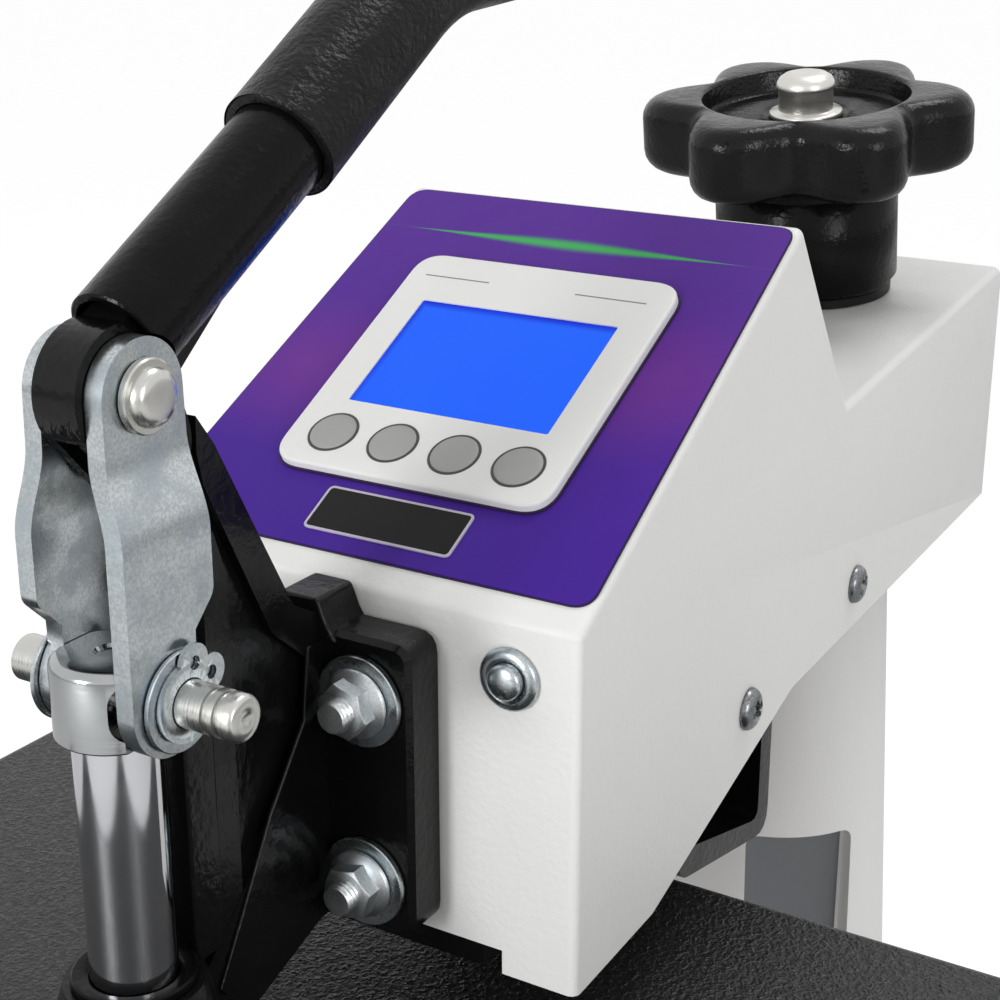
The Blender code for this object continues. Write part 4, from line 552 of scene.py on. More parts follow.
def brushed_aluminium():
    """Machined plate with strokes along X."""
    made = Surface("plate_aluminium", "aluminium", (0.6, 0.6, 0.6), 0.35, 1.0)
    strokes = made.noise(1.0, 3, 0.6, 0.0, made.stretched((9, 1400, 1400)))
    made.rough(strokes, 0.28, 0.46)
    made.colour(strokes, (0.52, 0.52, 0.53), (0.66, 0.66, 0.66))
    made.bump(strokes, 0.3, 0.03 * MM)
    return made.material


def fibre_board():
    """Pressed mineral board."""
    made = Surface("insulation", "board", (0.6, 0.55, 0.45), 0.9)
    fibres = made.noise(1.0, 4, 0.6, 0.4, made.stretched((160, 420, 900)))
    made.colour(fibres, (0.50, 0.45, 0.36), (0.68, 0.63, 0.53))
    made.bump(fibres, 0.6, 0.2 * MM)
    return made.material


WHITE = powder_coat()
CASTING = gloss_black("black_gloss_casting", "black_casting", 420, 0.24 * MM, 0.14, 0.26, 0.004, 0.20)
COLLAR = turned_steel("collar_zinc", "zinc", 2, (0.42, 0.435, 0.44), 0.10, 0.22, 0.01)
# A grey that paints the shade in the upright's pocket; it covers a sheet laid on the pocket's floor.
POCKET_SHADE = plain("pocket_painted_shade", "white_powder_coat", (0.135, 0.145, 0.155), 0.5, 0.6, vary=0.05)
EDGE_LINE = plain("overlay_edge", "panel_purple", (0.030, 0.018, 0.055), 0.45, 0.55, specular=0.15, vary=0.05)
TUBE = gloss_black("black_tube", "black_tube", 520, 0.22 * MM, 0.16, 0.28, 0.003, 0.11)
KNOB = gloss_black("knob_phenolic", "knob", 700, 0.30 * MM, 0.16, 0.26, 0.003, 0.21)
GRIP = gloss_black("black_grip", "grip", 620, 0.70 * MM, 0.30, 0.44, 0.006, 0.16)
DARK = plain("dark_plastic", "dark_plastic", (0.008, 0.008, 0.009), 0.35, 0.5, specular=0.15, vary=0.2)
SHROUD = leather_black()
ZINC = zinc_plate()
NUT = zinc_plate("zinc_plate_nuts", (0.52, 0.55, 0.56), (0.72, 0.74, 0.74), 0.32, 0.46)
PIN = turned_steel("turned_steel", "turned_steel", 0, (0.58, 0.575, 0.55), 0.22, 0.36)
POST_STEEL = turned_steel("turned_steel_upright", "turned_steel", 2, (0.66, 0.65, 0.62), 0.28, 0.42)
CHROME = chrome()
FILM = printed_film()
BEZEL = plain("bezel_plastic", "bezel", (0.775, 0.775, 0.755), 0.38, 0.5, 1300, 0.02, vary=0.01)
LCD = lit_display()
KEY = plain("key_grey", "key", (0.35, 0.35, 0.342), 0.5, 0.6, 1100, 0.03, 0.3, 0.03)
LINE = plain("printed_line", "bezel", (0.20, 0.20, 0.21), 0.5, 0.6, vary=0.05)
OUTLINE = plain("key_outline", "dark_plastic", (0.045, 0.045, 0.045), 0.45, 0.55, vary=0.1)
PALE_LINE = plain("strip_outline", "bezel", (0.50, 0.46, 0.55), 0.45, 0.55, vary=0.05)
STRIP = plain("strip_black", "dark_plastic", (0.010, 0.010, 0.010), 0.3, 0.42, specular=0.12, vary=0.1)
SCREW = zinc_plate("screw_steel", (0.16, 0.165, 0.17), (0.32, 0.33, 0.34))
ALUMINIUM = brushed_aluminium()
BOARD = fibre_board()
RUBBER = plain("foot_rubber", "foot_rubber", (0.03, 0.03, 0.03), 0.7, 0.85, 500, 0.1, vary=0.2)
PAD = plain("pad_silicone", "pad_silicone", (0.55, 0.12, 0.08), 0.6, 0.8, 420, 0.2, vary=0.12)

# The CAD nodes that no piece replaces, with their surfaces
KEPT_NODES = {"thrust_ring": ZINC, "fulcrum_pin": ZINC, "insulation_board": BOARD, "knob_spindle": POST_STEEL}


# Stage, light and camera

def make_camera():
    """The camera stands where the photograph was taken from."""
    data = bpy.data.cameras.new("camera")
    data.lens = CAMERA_LENS
    data.sensor_width = CAMERA_SENSOR
    flat = math.cos(CAMERA_ELEVATION)
    cosine = math.cos(CAMERA_AZIMUTH)
    sine = math.sin(CAMERA_AZIMUTH)
    right = Vector((cosine, sine, 0))
    forward = Vector((-sine * flat, cosine * flat, -math.sin(CAMERA_ELEVATION)))
    basis = Matrix((right, right.cross(forward), -forward)).transposed()
    camera = linked("camera", data)
    camera.matrix_world = Matrix.Translation(CAMERA_EYE) @ basis.to_4x4()
    bpy.context.scene.camera = camera


def make_world():
    """A white background, seen by the camera and in metal or glass, over a plain ambient light."""
    world = bpy.data.worlds.new("studio")
    world.use_nodes = True
    tree = world.node_tree
    path = wired(tree, "ShaderNodeLightPath", {})
    seen = path["Is Camera Ray"]
    for name in ("Is Glossy Ray", "Is Transmission Ray"):
        seen = wired(tree, "ShaderNodeMath", {0: seen, 1: path[name]}, operation="MAXIMUM")["Value"]
    strength = wired(tree, "ShaderNodeMapRange", {"Value": seen, "To Min": AMBIENT_LIGHT, "To Max": 1.0})
    sky = tree.nodes["Background"]
    put(tree, sky.inputs["Color"], (1, 1, 1))
    put(tree, sky.inputs["Strength"], strength["Result"])
    bpy.context.scene.world = world


def make_lamp(name, place, aim, size, power):
    """A soft rectangular lamp."""
    data = bpy.data.lights.new(name, "AREA")
    data.shape = "RECTANGLE"
    data.size, data.size_y = size
    data.energy = power
    lamp = linked(name, data)
    lamp.location = place
    lamp.rotation_euler = (Vector(aim) - Vector(place)).to_track_quat("-Z", "Y").to_euler()


def make_floor():
    """A pale floor that keeps the shadow and runs into the white background."""
    material = bpy.data.materials.new("floor_pale")
    material.use_nodes = True
    tree = material.node_tree
    shader = tree.nodes["Principled BSDF"]
    for name, value in (("Base Color", (FLOOR_TONE,) * 3), ("Roughness", 0.9), ("Specular IOR Level", 0.1)):
        put(tree, shader.inputs[name], value)
    white = wired(tree, "ShaderNodeEmission", {"Color": (1, 1, 1), "Strength": FLOOR_GLOW})
    direct = wired(tree, "ShaderNodeLightPath", {})["Is Camera Ray"]
    share = wired(tree, "ShaderNodeMath", {0: direct, 1: FLOOR_GLOW_SHARE}, operation="MULTIPLY")
    inputs = {0: share["Value"], 1: shader.outputs["BSDF"], 2: white["Emission"]}
    mix = wired(tree, "ShaderNodeMixShader", inputs)
    put(tree, tree.nodes["Material Output"].inputs["Surface"], mix["Shader"])
    mesh = bpy.data.meshes.new("floor")
    corners = [(x, y, 0) for x, y in rectangle((0, 0), (80.0, 80.0))]
    mesh.from_pydata(corners, [], [(0, 1, 2, 3)])
    mesh.materials.append(material)
    floor = linked("floor", mesh)
    floor.location.z = -0.5 * MM


def make_studio():
    """World, lamps, floor and camera."""
    bpy.context.scene.view_settings.view_transform = "Standard"
    make_world()
    for lamp in LAMPS:
        make_lamp(*lamp)
    make_floor()
    make_camera()


# Small fasteners

def hex_nut(apothem, height, flange_radius=0.0, steps=144, rows=16):
    """A hexagon with a turned chamfer, over a sloping flange where it has one."""
    rings = []
    depth = apothem * 0.16
    for row in range(-1, rows + 1):
        rise = 0.0 if row < 0 else height - depth + depth * row / rows
        ring = []
        for step in range(steps):
            degrees = 360 * step / steps
            side = apothem / math.cos(math.radians((degrees + 30) % 60 - 30))
            ring.append((*polar(min(side, apothem * 0.97 + (height - rise) * 1.75), degrees), rise))
        rings.append(ring)
    body = skin(rings)
    if not flange_radius:
        return body
    flange = [(flange_radius - 0.4 * MM, 0), (flange_radius, 0.4 * MM), (flange_radius, 1.0 * MM),
              (flange_radius - 0.3 * MM, 1.4 * MM), (apothem * 0.98, 3.0 * MM), (apothem * 0.6, 3.1 * MM)]
    return joined(turned(flange), body)


def threaded(radius, length, pitch, depth, steps=48):
    """The end of a bolt: its radius follows a helix and eases off at the tip."""
    rings = []
    rows = max(8, int(length / pitch * 8))
    for row in range(rows + 1):
        rise = length * row / rows
        tip = max(0.0, rise - (length - 0.9 * MM))
        ring = []
        for step in range(steps):
            wave = abs(2 * ((rise / pitch - step / steps) % 1.0) - 1)
            ring.append((*polar(min(radius - depth * wave, radius - tip * 0.9), 360 * step / steps), rise))
        rings.append(ring)
    return skin(rings)


def washer(inner, outer, thickness, ease=0.25 * MM):
    """A flat ring with eased edges."""
    side = thickness - ease
    profile = [(inner, 0), (outer - ease, 0), (outer, ease), (outer, side), (outer - ease, thickness),
               (inner + ease, thickness), (inner, side)]
    return turned(profile, 96, True)


def seated(head, place, turn):
    """Puts a finished screw head where it belongs."""
    head.data.transform(at(place, turn))
    sharpen(head)


def cross_screw(name, place, turn, radius, height, surface, body):
    """A pan head screw with its cross recess."""
    rim = 0.25 * MM
    profile = [(radius * 0.98, 0), (radius, rim)]
    for degrees in range(10, 90, 10):
        out, up = polar(1, degrees)
        profile.append((radius * out ** 0.6, rim + (height - rim) * up))
    profile.append((radius * 0.2, height))
    head = piece(name, turned(profile, 64), surface, body)
    width = radius * 0.24
    reach = radius * 0.60
    for first, second in ((reach, width), (width, reach)):
        low = [(x, y, height * 0.35) for x, y in rectangle((0, 0), (first * 1.2, second * 1.3))]
        high = [(x, y, height * 1.3) for x, y in rectangle((0, 0), (first * 2, second * 2))]
        carve(head, skin([low, high]))
    seated(head, place, turn)


def socket_screw(name, place, radius, height, surface, body):
    """A cap screw with a hexagon socket."""
    profile = [(radius, 0), (radius, height - 0.5 * MM), (radius - 0.5 * MM, height)]
    head = piece(name, turned(profile, 64), surface, body)
    carve(head, drum(radius * 0.52, height * 0.4, height * 1.4, 6))
    seated(head, place, None)


# Base and upright

def make_foot(node):
    """A rubber foot with its hollow underside and its groove."""
    low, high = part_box(node)
    centre = (low + high) / 2
    radius = (high.x - low.x) / 2
    height = high.z - low.z
    groove = radius - 1 * MM
    ease = 0.8 * MM
    profile = [(radius * 0.55, 0), (radius * 0.60, 1.5 * MM), (radius * 0.78, 1.5 * MM), (radius * 0.82, 0),
               (radius - 2.4 * MM, 0), (radius - 0.9 * MM, 1 * MM), (radius, 3.2 * MM),
               (radius, height * 0.45), (groove, height * 0.5), (groove, height * 0.58),
               (radius, height * 0.63), (radius, height - ease), (radius - ease, height)]
    shell(node, moved(turned(profile, 72), at((centre.x, centre.y, 0))), RUBBER)


def make_pedestal():
    """The turned pedestal below the table, with its flange screws."""
    low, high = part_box("pedestal")
    wide = (high.x - low.x) / 2
    narrow = 44 * MM
    flange = 10 * MM
    ease = 1 * MM
    half = [(wide - ease, 0), (wide, ease), (wide, flange - 2 * ease), (wide - 2 * ease, flange)]
    half += arc((narrow + flange, 2 * flange), flange, 270, 180, 8)
    profile = [(radius, low.z + rise) for radius, rise in half]
    profile += [(radius, high.z - rise) for radius, rise in reversed(half)]
    shell("pedestal", moved(turned(profile), at((0, ROD_Y, 0))), WHITE)
    for index in range(4):
        across, along = polar(wide - 8 * MM, 45 + 90 * index)
        place = (across, ROD_Y + along, low.z + flange)
        socket_screw("pedestal_screw_" + str(index + 1), place, 4.6 * MM, 4.2 * MM, ZINC, "base")


def make_base():
    """Frame, table and feet, with the bolts that hold them."""
    for node in ("base_spine", "base_bar_front", "base_bar_rear", "table_spider"):
        dressed(node, WHITE, 1.2 * MM)
    dressed("lower_table", ALUMINIUM, 0.8 * MM)
    dressed("silicone_pad", PAD, 1.4 * MM)
    for end in ("front", "rear"):
        for side in ("left", "right"):
            make_foot("foot_" + end + "_" + side)
    make_pedestal()


def make_pocket(post):
    """The pocket in the upright's side, and a grey sheet on its floor that paints the pocket's shade."""
    turn = at((0, POST_Y, 0), spun(POCKET_TURN))
    top = HEAD_Z - 94.6 * MM
    rings = []
    for inset, depth in mm(((2.5, -35), (0.8, -35.5), (0, -37), (0, -90))):
        face = rectangle((0, top - 60 * MM), (45 * MM - 2 * inset, 120 * MM - 2 * inset))
        rings.append([(x, depth, z) for x, z in rounded(face, 6 * MM - inset)])
    carve(post, moved(skin(rings), turn))
    sharpen(post)
    # A thin grey sheet on the pocket's floor, which paints the pocket's shade.
    face = rectangle((0, top - 60.1 * MM), (40.8 * MM, 115.8 * MM))
    shade_sheet = prism(rounded(face, 4 * MM), -35.4 * MM, -34.6 * MM, "Y")
    piece("post_pocket_painted_shade", moved(shade_sheet, turn), POCKET_SHADE, "base")


def make_upright():
    """The tapered upright with its pivot, its side pocket and its bolts."""
    low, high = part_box("upright_post")
    shoulder = high.z - PIVOT_LENGTH
    foot = [*mm([(71, 0), (72, 1), (72, 11), (71, 12)]), *arc(mm((65.5, 21)), 9 * MM, 270, 180, 10)]
    profile = [(radius, low.z + rise) for radius, rise in foot]
    profile += [(41.8 * MM, shoulder - 1 * MM), (41 * MM, shoulder), (PIVOT_RADIUS, shoulder),
                (PIVOT_RADIUS, high.z - 1 * MM), (PIVOT_RADIUS - 1 * MM, high.z)]
    make_pocket(shell("upright_post", moved(turned(profile, 192), at((0, POST_Y, 0))), WHITE))
    apothem = 5.2 * MM
    lift = 1.6 * MM
    for index in range(4):
        across, along = polar(65.5 * MM, 45 + 90 * index)
        head = moved(hex_nut(apothem, 5 * MM), at((0, 0, lift)))
        bolt = joined(washer(apothem * 0.6, apothem * 1.55, lift), head)
        place = at((across, POST_Y + along, low.z + 12 * MM))
        piece("post_bolt_" + str(index + 1), moved(bolt, place), ZINC, "base")


# Head

def cover_half(back):
    """Half the cover's width at a distance behind its front face."""
    return 75.5 * MM - COVER_TAPER * back


def cover_side(insets):
    """The cover's outline from the side, each of its eight sides moved in by its own distance."""
    back, up = polar(PANEL_LENGTH, PANEL_SLOPE)
    corners = [(0, 0), (0, COVER_BEND), (back, COVER_BEND + up)]
    corners += mm([(195.8, 114.3), (385.4, 127.2), (385.4, 27.8), (156.7, 27.8), (48.6, 0)])
    lines = []
    for index, corner in enumerate(corners):
        here = Vector(corner)
        along = (Vector(corners[(index + 1) % 8]) - here).normalized()
        lines.append((here + Vector((along.y, -along.x)) * insets[index], along))
    result = []
    for index, (place, along) in enumerate(lines):
        before, direction = lines[index - 1]
        across = Vector((-along.y, along.x))
        result.append(before + direction * ((place - before).dot(across) / direction.dot(across)))
    return result


def tapered_ring(outline, half_inset):
    """The side outline at one side of the tapered cover."""
    hand = 1 if half_inset > 0 else -1
    return [(hand * cover_half(back) - half_inset, HEAD_Y + back, HEAD_Z + rise) for back, rise in outline]


def knob_seat():
    """The middle of the ring below the knob, in the cover's slope."""
    low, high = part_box("knob_ring")
    return at((low + high) / 2, spun(FLAT_SLOPE, "X"))


def make_cover():
    """The folded cover with its soft edges, open below, with its notch and holes."""
    radius = 2.8 * MM
    nothing = 0.001 * MM
    near = []
    for degrees in range(0, 91, 15):
        out, up = polar(radius, degrees)
        inset = radius - up
        soft = max(radius - inset, nothing)
        radii = [0, soft, soft, 3 * MM + inset, 7 * MM - inset, nothing, 28 * MM, 0]
        near.append((rounded(cover_side([inset] * 5 + [0] * 3), radii), radius - out + nothing))
    rings = [tapered_ring(outline, -aside) for outline, aside in near]
    rings += [tapered_ring(outline, aside) for outline, aside in reversed(near)]
    cover = shell("head_cover", skin(rings), WHITE)
    inner = cover_side([COVER_WALL] * 8)
    hollow = [(inner[0][0], -50 * MM), *inner[1:5], (inner[5][0], -50 * MM)]
    carve(cover, skin([tapered_ring(hollow, -COVER_WALL), tapered_ring(hollow, COVER_WALL)]))
    corner = (-52.6 * MM, HEAD_Y - 2 * MM, HEAD_Z - 2 * MM)
    carve(cover, box(corner, (52.6 * MM, HEAD_Y + 3.6 * MM, HEAD_Z + 7.2 * MM)))
    carve(cover, moved(drum(6.9 * MM, -2 * MM, 2 * MM), BUTTON_AXIS))
    carve(cover, moved(drum(12 * MM, -8 * MM, 2 * MM), knob_seat()))
    for node in ("switch_frame", "power_inlet"):
        low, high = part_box(node)
        edge = Vector((2 * MM, 0, 2 * MM))
        carve(cover, box(low + edge, high - edge))
    sharpen(cover)


def make_inlet_blades():
    """Three contact blades inside the mains inlet."""
    low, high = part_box("power_inlet")
    centre = (low + high) / 2
    floor = high.y - 18 * MM
    for index, (across, rise) in enumerate(mm(((0, 3.2), (-6.6, -2.4), (6.6, -2.4)))):
        outline = rounded(rectangle((centre.x + across, centre.z + rise), mm((1.8, 3.6))), 0.4 * MM, 3)
        blade = prism(outline, floor - 1 * MM, floor + 12 * MM, "Y")
        piece("inlet_blade_" + str(index + 1), blade, PIN, "head", edge=0.3 * MM)


def make_head():
    """Cover, arm, the screws in the cover's sides and the rear fittings."""
    make_cover()
    dressed("arm_casting", CASTING, 1.1 * MM, 3, 28)
    for index, (back, rise) in enumerate(mm(((116.6, 36.6), (215.5, 44)))):
        for hand, side in ((-1, "left"), (1, "right")):
            place = (hand * (cover_half(back) + 0.1 * MM), HEAD_Y + back, HEAD_Z + rise)
            yaw = Matrix.Rotation(hand * math.atan(COVER_TAPER), 4, "Z")
            turn = yaw @ spun(hand * 90, "Y") @ spun(22 + 31 * index)
            name = "side_screw_" + side + "_" + str(index + 1)
            cross_screw(name, place, turn, 6.9 * MM, 3.6 * MM, SCREW, "head")
    dressed("switch_frame", DARK, 0.6 * MM)
    dressed("power_inlet", DARK, 0.6 * MM)
    dressed("power_rocker", CASTING, 0.7 * MM)
    make_inlet_blades()


# Panel and button

PANEL_FACE = 4.1 * MM
DISPLAY_CENTRE = mm((1.9, 84.05))
STRIP_CENTRE = mm((4.2, 22.6))


def on_panel(outline, low, high):
    """A flat shape on the sloping face, from and to a height off it in millimetres."""
    return moved(prism(outline, low * MM, high * MM, "Z"), ON_PANEL)


def key_place(index, height):
    """Where a key's axis stands on the panel."""
    return ON_PANEL @ at((2.3 * MM + (index - 1.5) * 20.7 * MM, 47.7 * MM, height))


def make_overlay():
    """The printed overlay, and the dark line of its cut edge."""
    line = 0.45 * MM
    outline = []
    border = []
    for hand, way, along in ((-1, -1, 8.9 * MM), (1, -1, 8.9 * MM), (1, 1, 162.2 * MM), (-1, 1, 162.2 * MM)):
        half = cover_half(along * math.cos(math.radians(PANEL_SLOPE))) - 1.8 * MM
        outline.append((hand * half, along))
        border.append((hand * (half + line), along + way * line))
    shell("panel_overlay", on_panel(rounded(outline, 6 * MM, 10), 0.3, 0.8), FILM, 0.15 * MM, 2)
    piece("panel_overlay_edge", on_panel(rounded(border, 6.4 * MM, 10), 0.1, 0.5), EDGE_LINE, "head")


def make_bezel():
    """The controller's frame with its eased edge, its window and key holes, and the display in it."""
    centre = mm((1.9, 81.4))
    base = rounded(rectangle(centre, mm((92.4, 95.0))), 10 * MM, 14)
    piece("bezel_base_line", on_panel(base, 0.6, 1.5), EDGE_LINE, "head")
    rings = []
    for inset, height in mm(((0, 1.1), (0, 3.2), (0.15, 3.65), (0.45, 3.98), (0.9, 4.1))):
        size = (91.2 * MM - 2 * inset, 93.8 * MM - 2 * inset)
        rings.append([(x, y, height) for x, y in rounded(rectangle(centre, size), 9.4 * MM - inset, 14)])
    bezel = shell("controller_bezel", moved(skin(rings), ON_PANEL), BEZEL)
    window = rounded(rectangle(DISPLAY_CENTRE, mm((67.4, 45.9))), 0.8 * MM, 4)
    carve(bezel, on_panel(window, 1.3, 6))
    for index in range(4):
        carve(bezel, moved(drum(7.5 * MM, 0.5 * MM, 6 * MM, 72), key_place(index, 0)))
    sharpen(bezel)
    glass = rectangle(DISPLAY_CENTRE, mm((67.2, 45.7)))
    shell("lcd_window", on_panel(glass, 1.4, 3.75), LCD)


def make_strip():
    """The dark strip below the display, and its pale outline."""
    flat = on_panel(rounded(rectangle(STRIP_CENTRE, mm((47, 15))), 1.5 * MM), 1.0, 1.2)
    shell("lower_window", flat, STRIP, name="strip_window")
    outer = rounded(rectangle(STRIP_CENTRE, mm((48.2, 16.2))), 2.0 * MM)
    inner = rounded(rectangle(STRIP_CENTRE, mm((46.7, 14.7))), 1.25 * MM)
    rings = []
    for outline, height in ((outer, 0.75), (outer, 1.24), (inner, 1.24), (inner, 0.75)):
        rings.append([(x, y, height * MM) for x, y in outline])
    piece("strip_outline", moved(skin(rings, True), ON_PANEL), PALE_LINE, "head")


def make_panel():
    """Overlay, bezel, printed lines, the dark strip and the keys with their outlines."""
    make_overlay()
    make_bezel()
    for index, (first, last) in enumerate(((-37.4, -14.3), (15.7, 39.5))):
        bar = mm([(first, 117.8), (last, 117.8), (last, 118.25), (first, 118.25)])
        piece("bezel_line_" + str(index + 1), on_panel(rounded(bar, 0.2 * MM, 2), 3.9, 4.15), LINE, "head")
    make_strip()
    dome = mm([(7.0, -1.6), (7.0, 0.25), (6.75, 0.42), (5.5, 0.56), (3.2, 0.68), (1, 0.72)])
    ring = mm([(6.98, -0.4), (7.85, -0.4), (7.85, 0.10), (7.5, 0.2), (6.98, 0.10)])
    for index in range(4):
        place = key_place(index, PANEL_FACE)
        node = "key_" + str(index + 1)
        shell(node, moved(turned(dome, 72), place), KEY, name=node + "_cap")
        piece(node + "_outline", moved(turned(ring, 72, True), place), OUTLINE, "head")


def make_button():
    """The metal push button: a stepped ring and a dished cap."""
    ring = mm([(6.6, -15), (6.6, 0.3), (8.3, 0.3), (8.7, 0.7), (8.7, 1.3), (8.2, 2.0), (6.8, 2.6), (6.2, 2.6),
               (5.6, 2.1), (5.2, 1.8), (5.2, -8)])
    shell("button_ring", moved(turned(ring), BUTTON_AXIS), ZINC)
    dome = mm([(4.9, -6), (4.9, 3.4), (4.7, 4.1), (4.2, 4.5), (3.2, 4.9), (1.8, 5.2), (0.6, 5.3)])
    shell("front_button", moved(turned(dome), BUTTON_AXIS), ZINC, name="front_button_cap")


# Front casting

def make_web():
    """Thin cheeks and a front edge on the casting's web, and the stepped boss at the horn's foot."""
    cheek = [(-62.5, 14.2), (-53, 29.7), (-39.5, 53.6), (-23.9, 74.2), (-21.4, 94), (-12, 94), (-12, 13),
             (-60, 11)]
    for side, low in (("left", -6.9 * MM), ("right", 5.5 * MM)):
        web = prism(from_head(cheek), low, low + 1.4 * MM)
        piece("web_cheek_" + side, web, CASTING, "head", edge=0.6 * MM)
    edge = from_head([(-70.5, 26), (-70.5, 94.423), (-59.5, 106.423), (-59.5, 26)])
    piece("web_front_edge", prism(edge, -8 * MM, 6.9 * MM), CASTING, "head", edge=0.9 * MM)
    foot = mm([(-13, 94), (12, 94), (8.8, 99), (6.2, 105.5), (-6.2, 105.5), (-8.8, 99)])
    foot = rounded([(across, HEAD_Z + rise) for across, rise in foot], mm([0, 0, 3, 2, 2, 3]), 6)
    boss = prism(foot, HEAD_Y - 16.3 * MM, HEAD_Y - 0.4 * MM, "Y")
    piece("horn_foot", boss, CASTING, "head", edge=0.9 * MM)


def make_bracket():
    """The front casting with its washers, nuts and threaded studs, and the rod's bush."""
    dressed("lever_bracket", CASTING, 1.3 * MM, 3, 30)
    make_web()
    for across, side in ((-19 * MM, "left"), (19 * MM, "right")):
        for rise, level, degrees in ((26.6 * MM, "lower", 41), (79.7 * MM, "upper", 17)):
            axis = at((across, HEAD_Y - 14.9 * MM, HEAD_Z + rise), FACE_FRONT)
            flat = washer(5.3 * MM, 12.7 * MM, 2 * MM)
            shell("washer_" + level + "_" + side, moved(flat, axis @ at((0, 0, 0.3 * MM))), ZINC)
            stud = moved(threaded(4.7 * MM, 5.2 * MM, 1.5 * MM, 0.55 * MM), at((0, 0, 6.4 * MM)))
            nut = joined(hex_nut(6.7 * MM, 7.4 * MM, 9.6 * MM), stud)
            shell("nut_" + level + "_" + side, moved(nut, axis @ at((0, 0, 2.6 * MM), spun(degrees))), NUT)
    rim = mm([(11.1, -10), (14, -10), (14, 29.3), (15.4, 29.4), (15.6, 29.8), (15.4, 31.0), (14.9, 31.4),
              (12.4, 31.4), (11.1, 30.6)])
    shell("rod_bush", moved(turned(rim, 96, True), at((0, ROD_Y, HEAD_Z))), TUBE)


# Lever and handle

def hull_outline(first, first_radius, second, second_radius, steps=24):
    """The outline round two circles and the two lines that touch both."""
    between = Vector(second) - Vector(first)
    heading = math.degrees(math.atan2(between.y, between.x))
    lean = math.degrees(math.acos((first_radius - second_radius) / between.length))
    near = arc(first, first_radius, heading + lean, heading + 360 - lean, steps)
    return near + arc(second, second_radius, heading - lean, heading + lean, steps)


def beyond(place, angle, distance):
    """A place further along a heading."""
    return place + Vector(polar(distance, angle))


def handle_path():
    """Places and headings along the handle, from its open end to the grip's end."""
    heading = HANDLE_RISE
    place = beyond(beyond(FULCRUM.yz, heading, 10 * MM), heading + 90, 23.8 * MM)
    path = [(place.copy(), heading)]
    for length, radius, last, steps in ((68.5, 90, 31.7, 8), (56, 70, 4.0, 16), (78, 0, 4.0, 0)):
        place = beyond(place, heading, length * MM)
        path.append((place.copy(), heading))
        side = 1 if last > heading else -1
        centre = beyond(place, heading + side * 90, radius * MM)
        for index in range(1, steps + 1):
            now = heading + (last - heading) * index / steps
            path.append((beyond(centre, now + side * 90, -radius * MM), now))
        place = path[-1][0]
        heading = last
    return path


def hoop(place, angle, radius, steps=72):
    """A ring of points square to the handle's path."""
    side = Vector(polar(1, angle + 90))
    ring = circle(radius, 0, steps)
    return [(across, place.x + side.x * up, place.y + side.y * up) for across, up, _ in ring]


def across_rod(place, radius, half):
    """A round bar along X through a place, for cutting with."""
    return moved(drum(radius, -half, half), at(place, LAY_ALONG_X))


def web_tip():
    """Where the lever's web ends under the tube."""
    return beyond(beyond(FULCRUM.yz, HANDLE_RISE, 37.5 * MM), HANDLE_RISE + 90, 15.5 * MM)


def make_lever():
    """The black lever plate between the links."""
    fulcrum = FULCRUM.yz
    top = TOP_PIN.yz
    mouth, heading = handle_path()[0]
    root = beyond(mouth, heading, 7.4 * MM)
    tip = beyond(mouth, heading, 38 * MM)
    half = 6.25 * MM
    plate = prism(hull_outline(top, 15.5 * MM, fulcrum, 12 * MM), -half, half)
    lever = shell("lever", plate, CASTING, 0.8 * MM, 3, 40)
    for outline, inset in ((hull_outline(top, 11.7 * MM, root, 7.4 * MM), 0.1 * MM),
                           (hull_outline(root, 7.4 * MM, tip, 7.1 * MM), 0.2 * MM),
                           (hull_outline(top, 11.4 * MM, web_tip(), 3 * MM), 0.3 * MM)):
        carve(lever, prism(outline, inset - half, half - inset), "UNION")
    slot = []
    for radius, first, last, steps in ((23, 164, 184, 8), (17.5, 184, 426, 40), (10, 66, 164, 20)):
        slot += arc(fulcrum, radius * MM, first, last, steps)
    carve(lever, prism(slot, -3.3 * MM, 3.3 * MM))
    carve(lever, across_rod(FULCRUM, 4.3 * MM, 12 * MM))
    carve(lever, across_rod(TOP_PIN, 5.8 * MM, 12 * MM))
    lever.data.shade_smooth()


def make_handle():
    """The tube with its open end, and the moulded grip over it."""
    path = handle_path()
    mouth, heading = path[0]
    rings = []
    for distance, radius in ((56, 10.5), (0.5, 10.5), (0, 10.9), (0, 12.0), (0.5, 12.5)):
        rings.append(hoop(beyond(mouth, heading, distance * MM), heading, radius * MM))
    rings += [hoop(place, angle, 12.5 * MM) for place, angle in path[1:]]
    tube = shell("handle_tube", skin(rings), TUBE)
    root = beyond(mouth, heading, 7.4 * MM)
    top = TOP_PIN.yz
    for wide, end, narrow in ((15.8 * MM, root, 8.0 * MM), (12.3 * MM, web_tip(), 3.3 * MM)):
        carve(tube, prism(hull_outline(top, wide, end, narrow), -6.55 * MM, 6.55 * MM))
    carve(tube, across_rod(TOP_PIN, 13.6 * MM, 25 * MM))
    sharpen(tube)
    make_grip(path)


def make_grip(path):
    """The grip, a sleeve with a rolled lip and a domed end."""
    bore = 12.8 * MM
    radius = 15.2 * MM
    lip = 1.4 * MM
    start, heading = path[1]
    end, last = path[-1]
    rings = [hoop(beyond(end, last, 0.3 * MM), last, bore)]
    rings += [hoop(place, angle, bore) for place, angle in reversed(path[1:-1])]
    for degrees in (-80, -55, -30, -5):
        out, along = polar(1, degrees)
        rings.append(hoop(beyond(start, heading, lip * (1 + along)), heading, radius - lip * (1 - out)))
    rings += [hoop(place, angle, radius) for place, angle in path[2:]]
    for degrees in range(10, 90, 10):
        out, along = polar(1, degrees)
        rings.append(hoop(beyond(end, last, 9 * MM * along), last, radius * out))
    shell("handle_grip", skin(rings), GRIP)


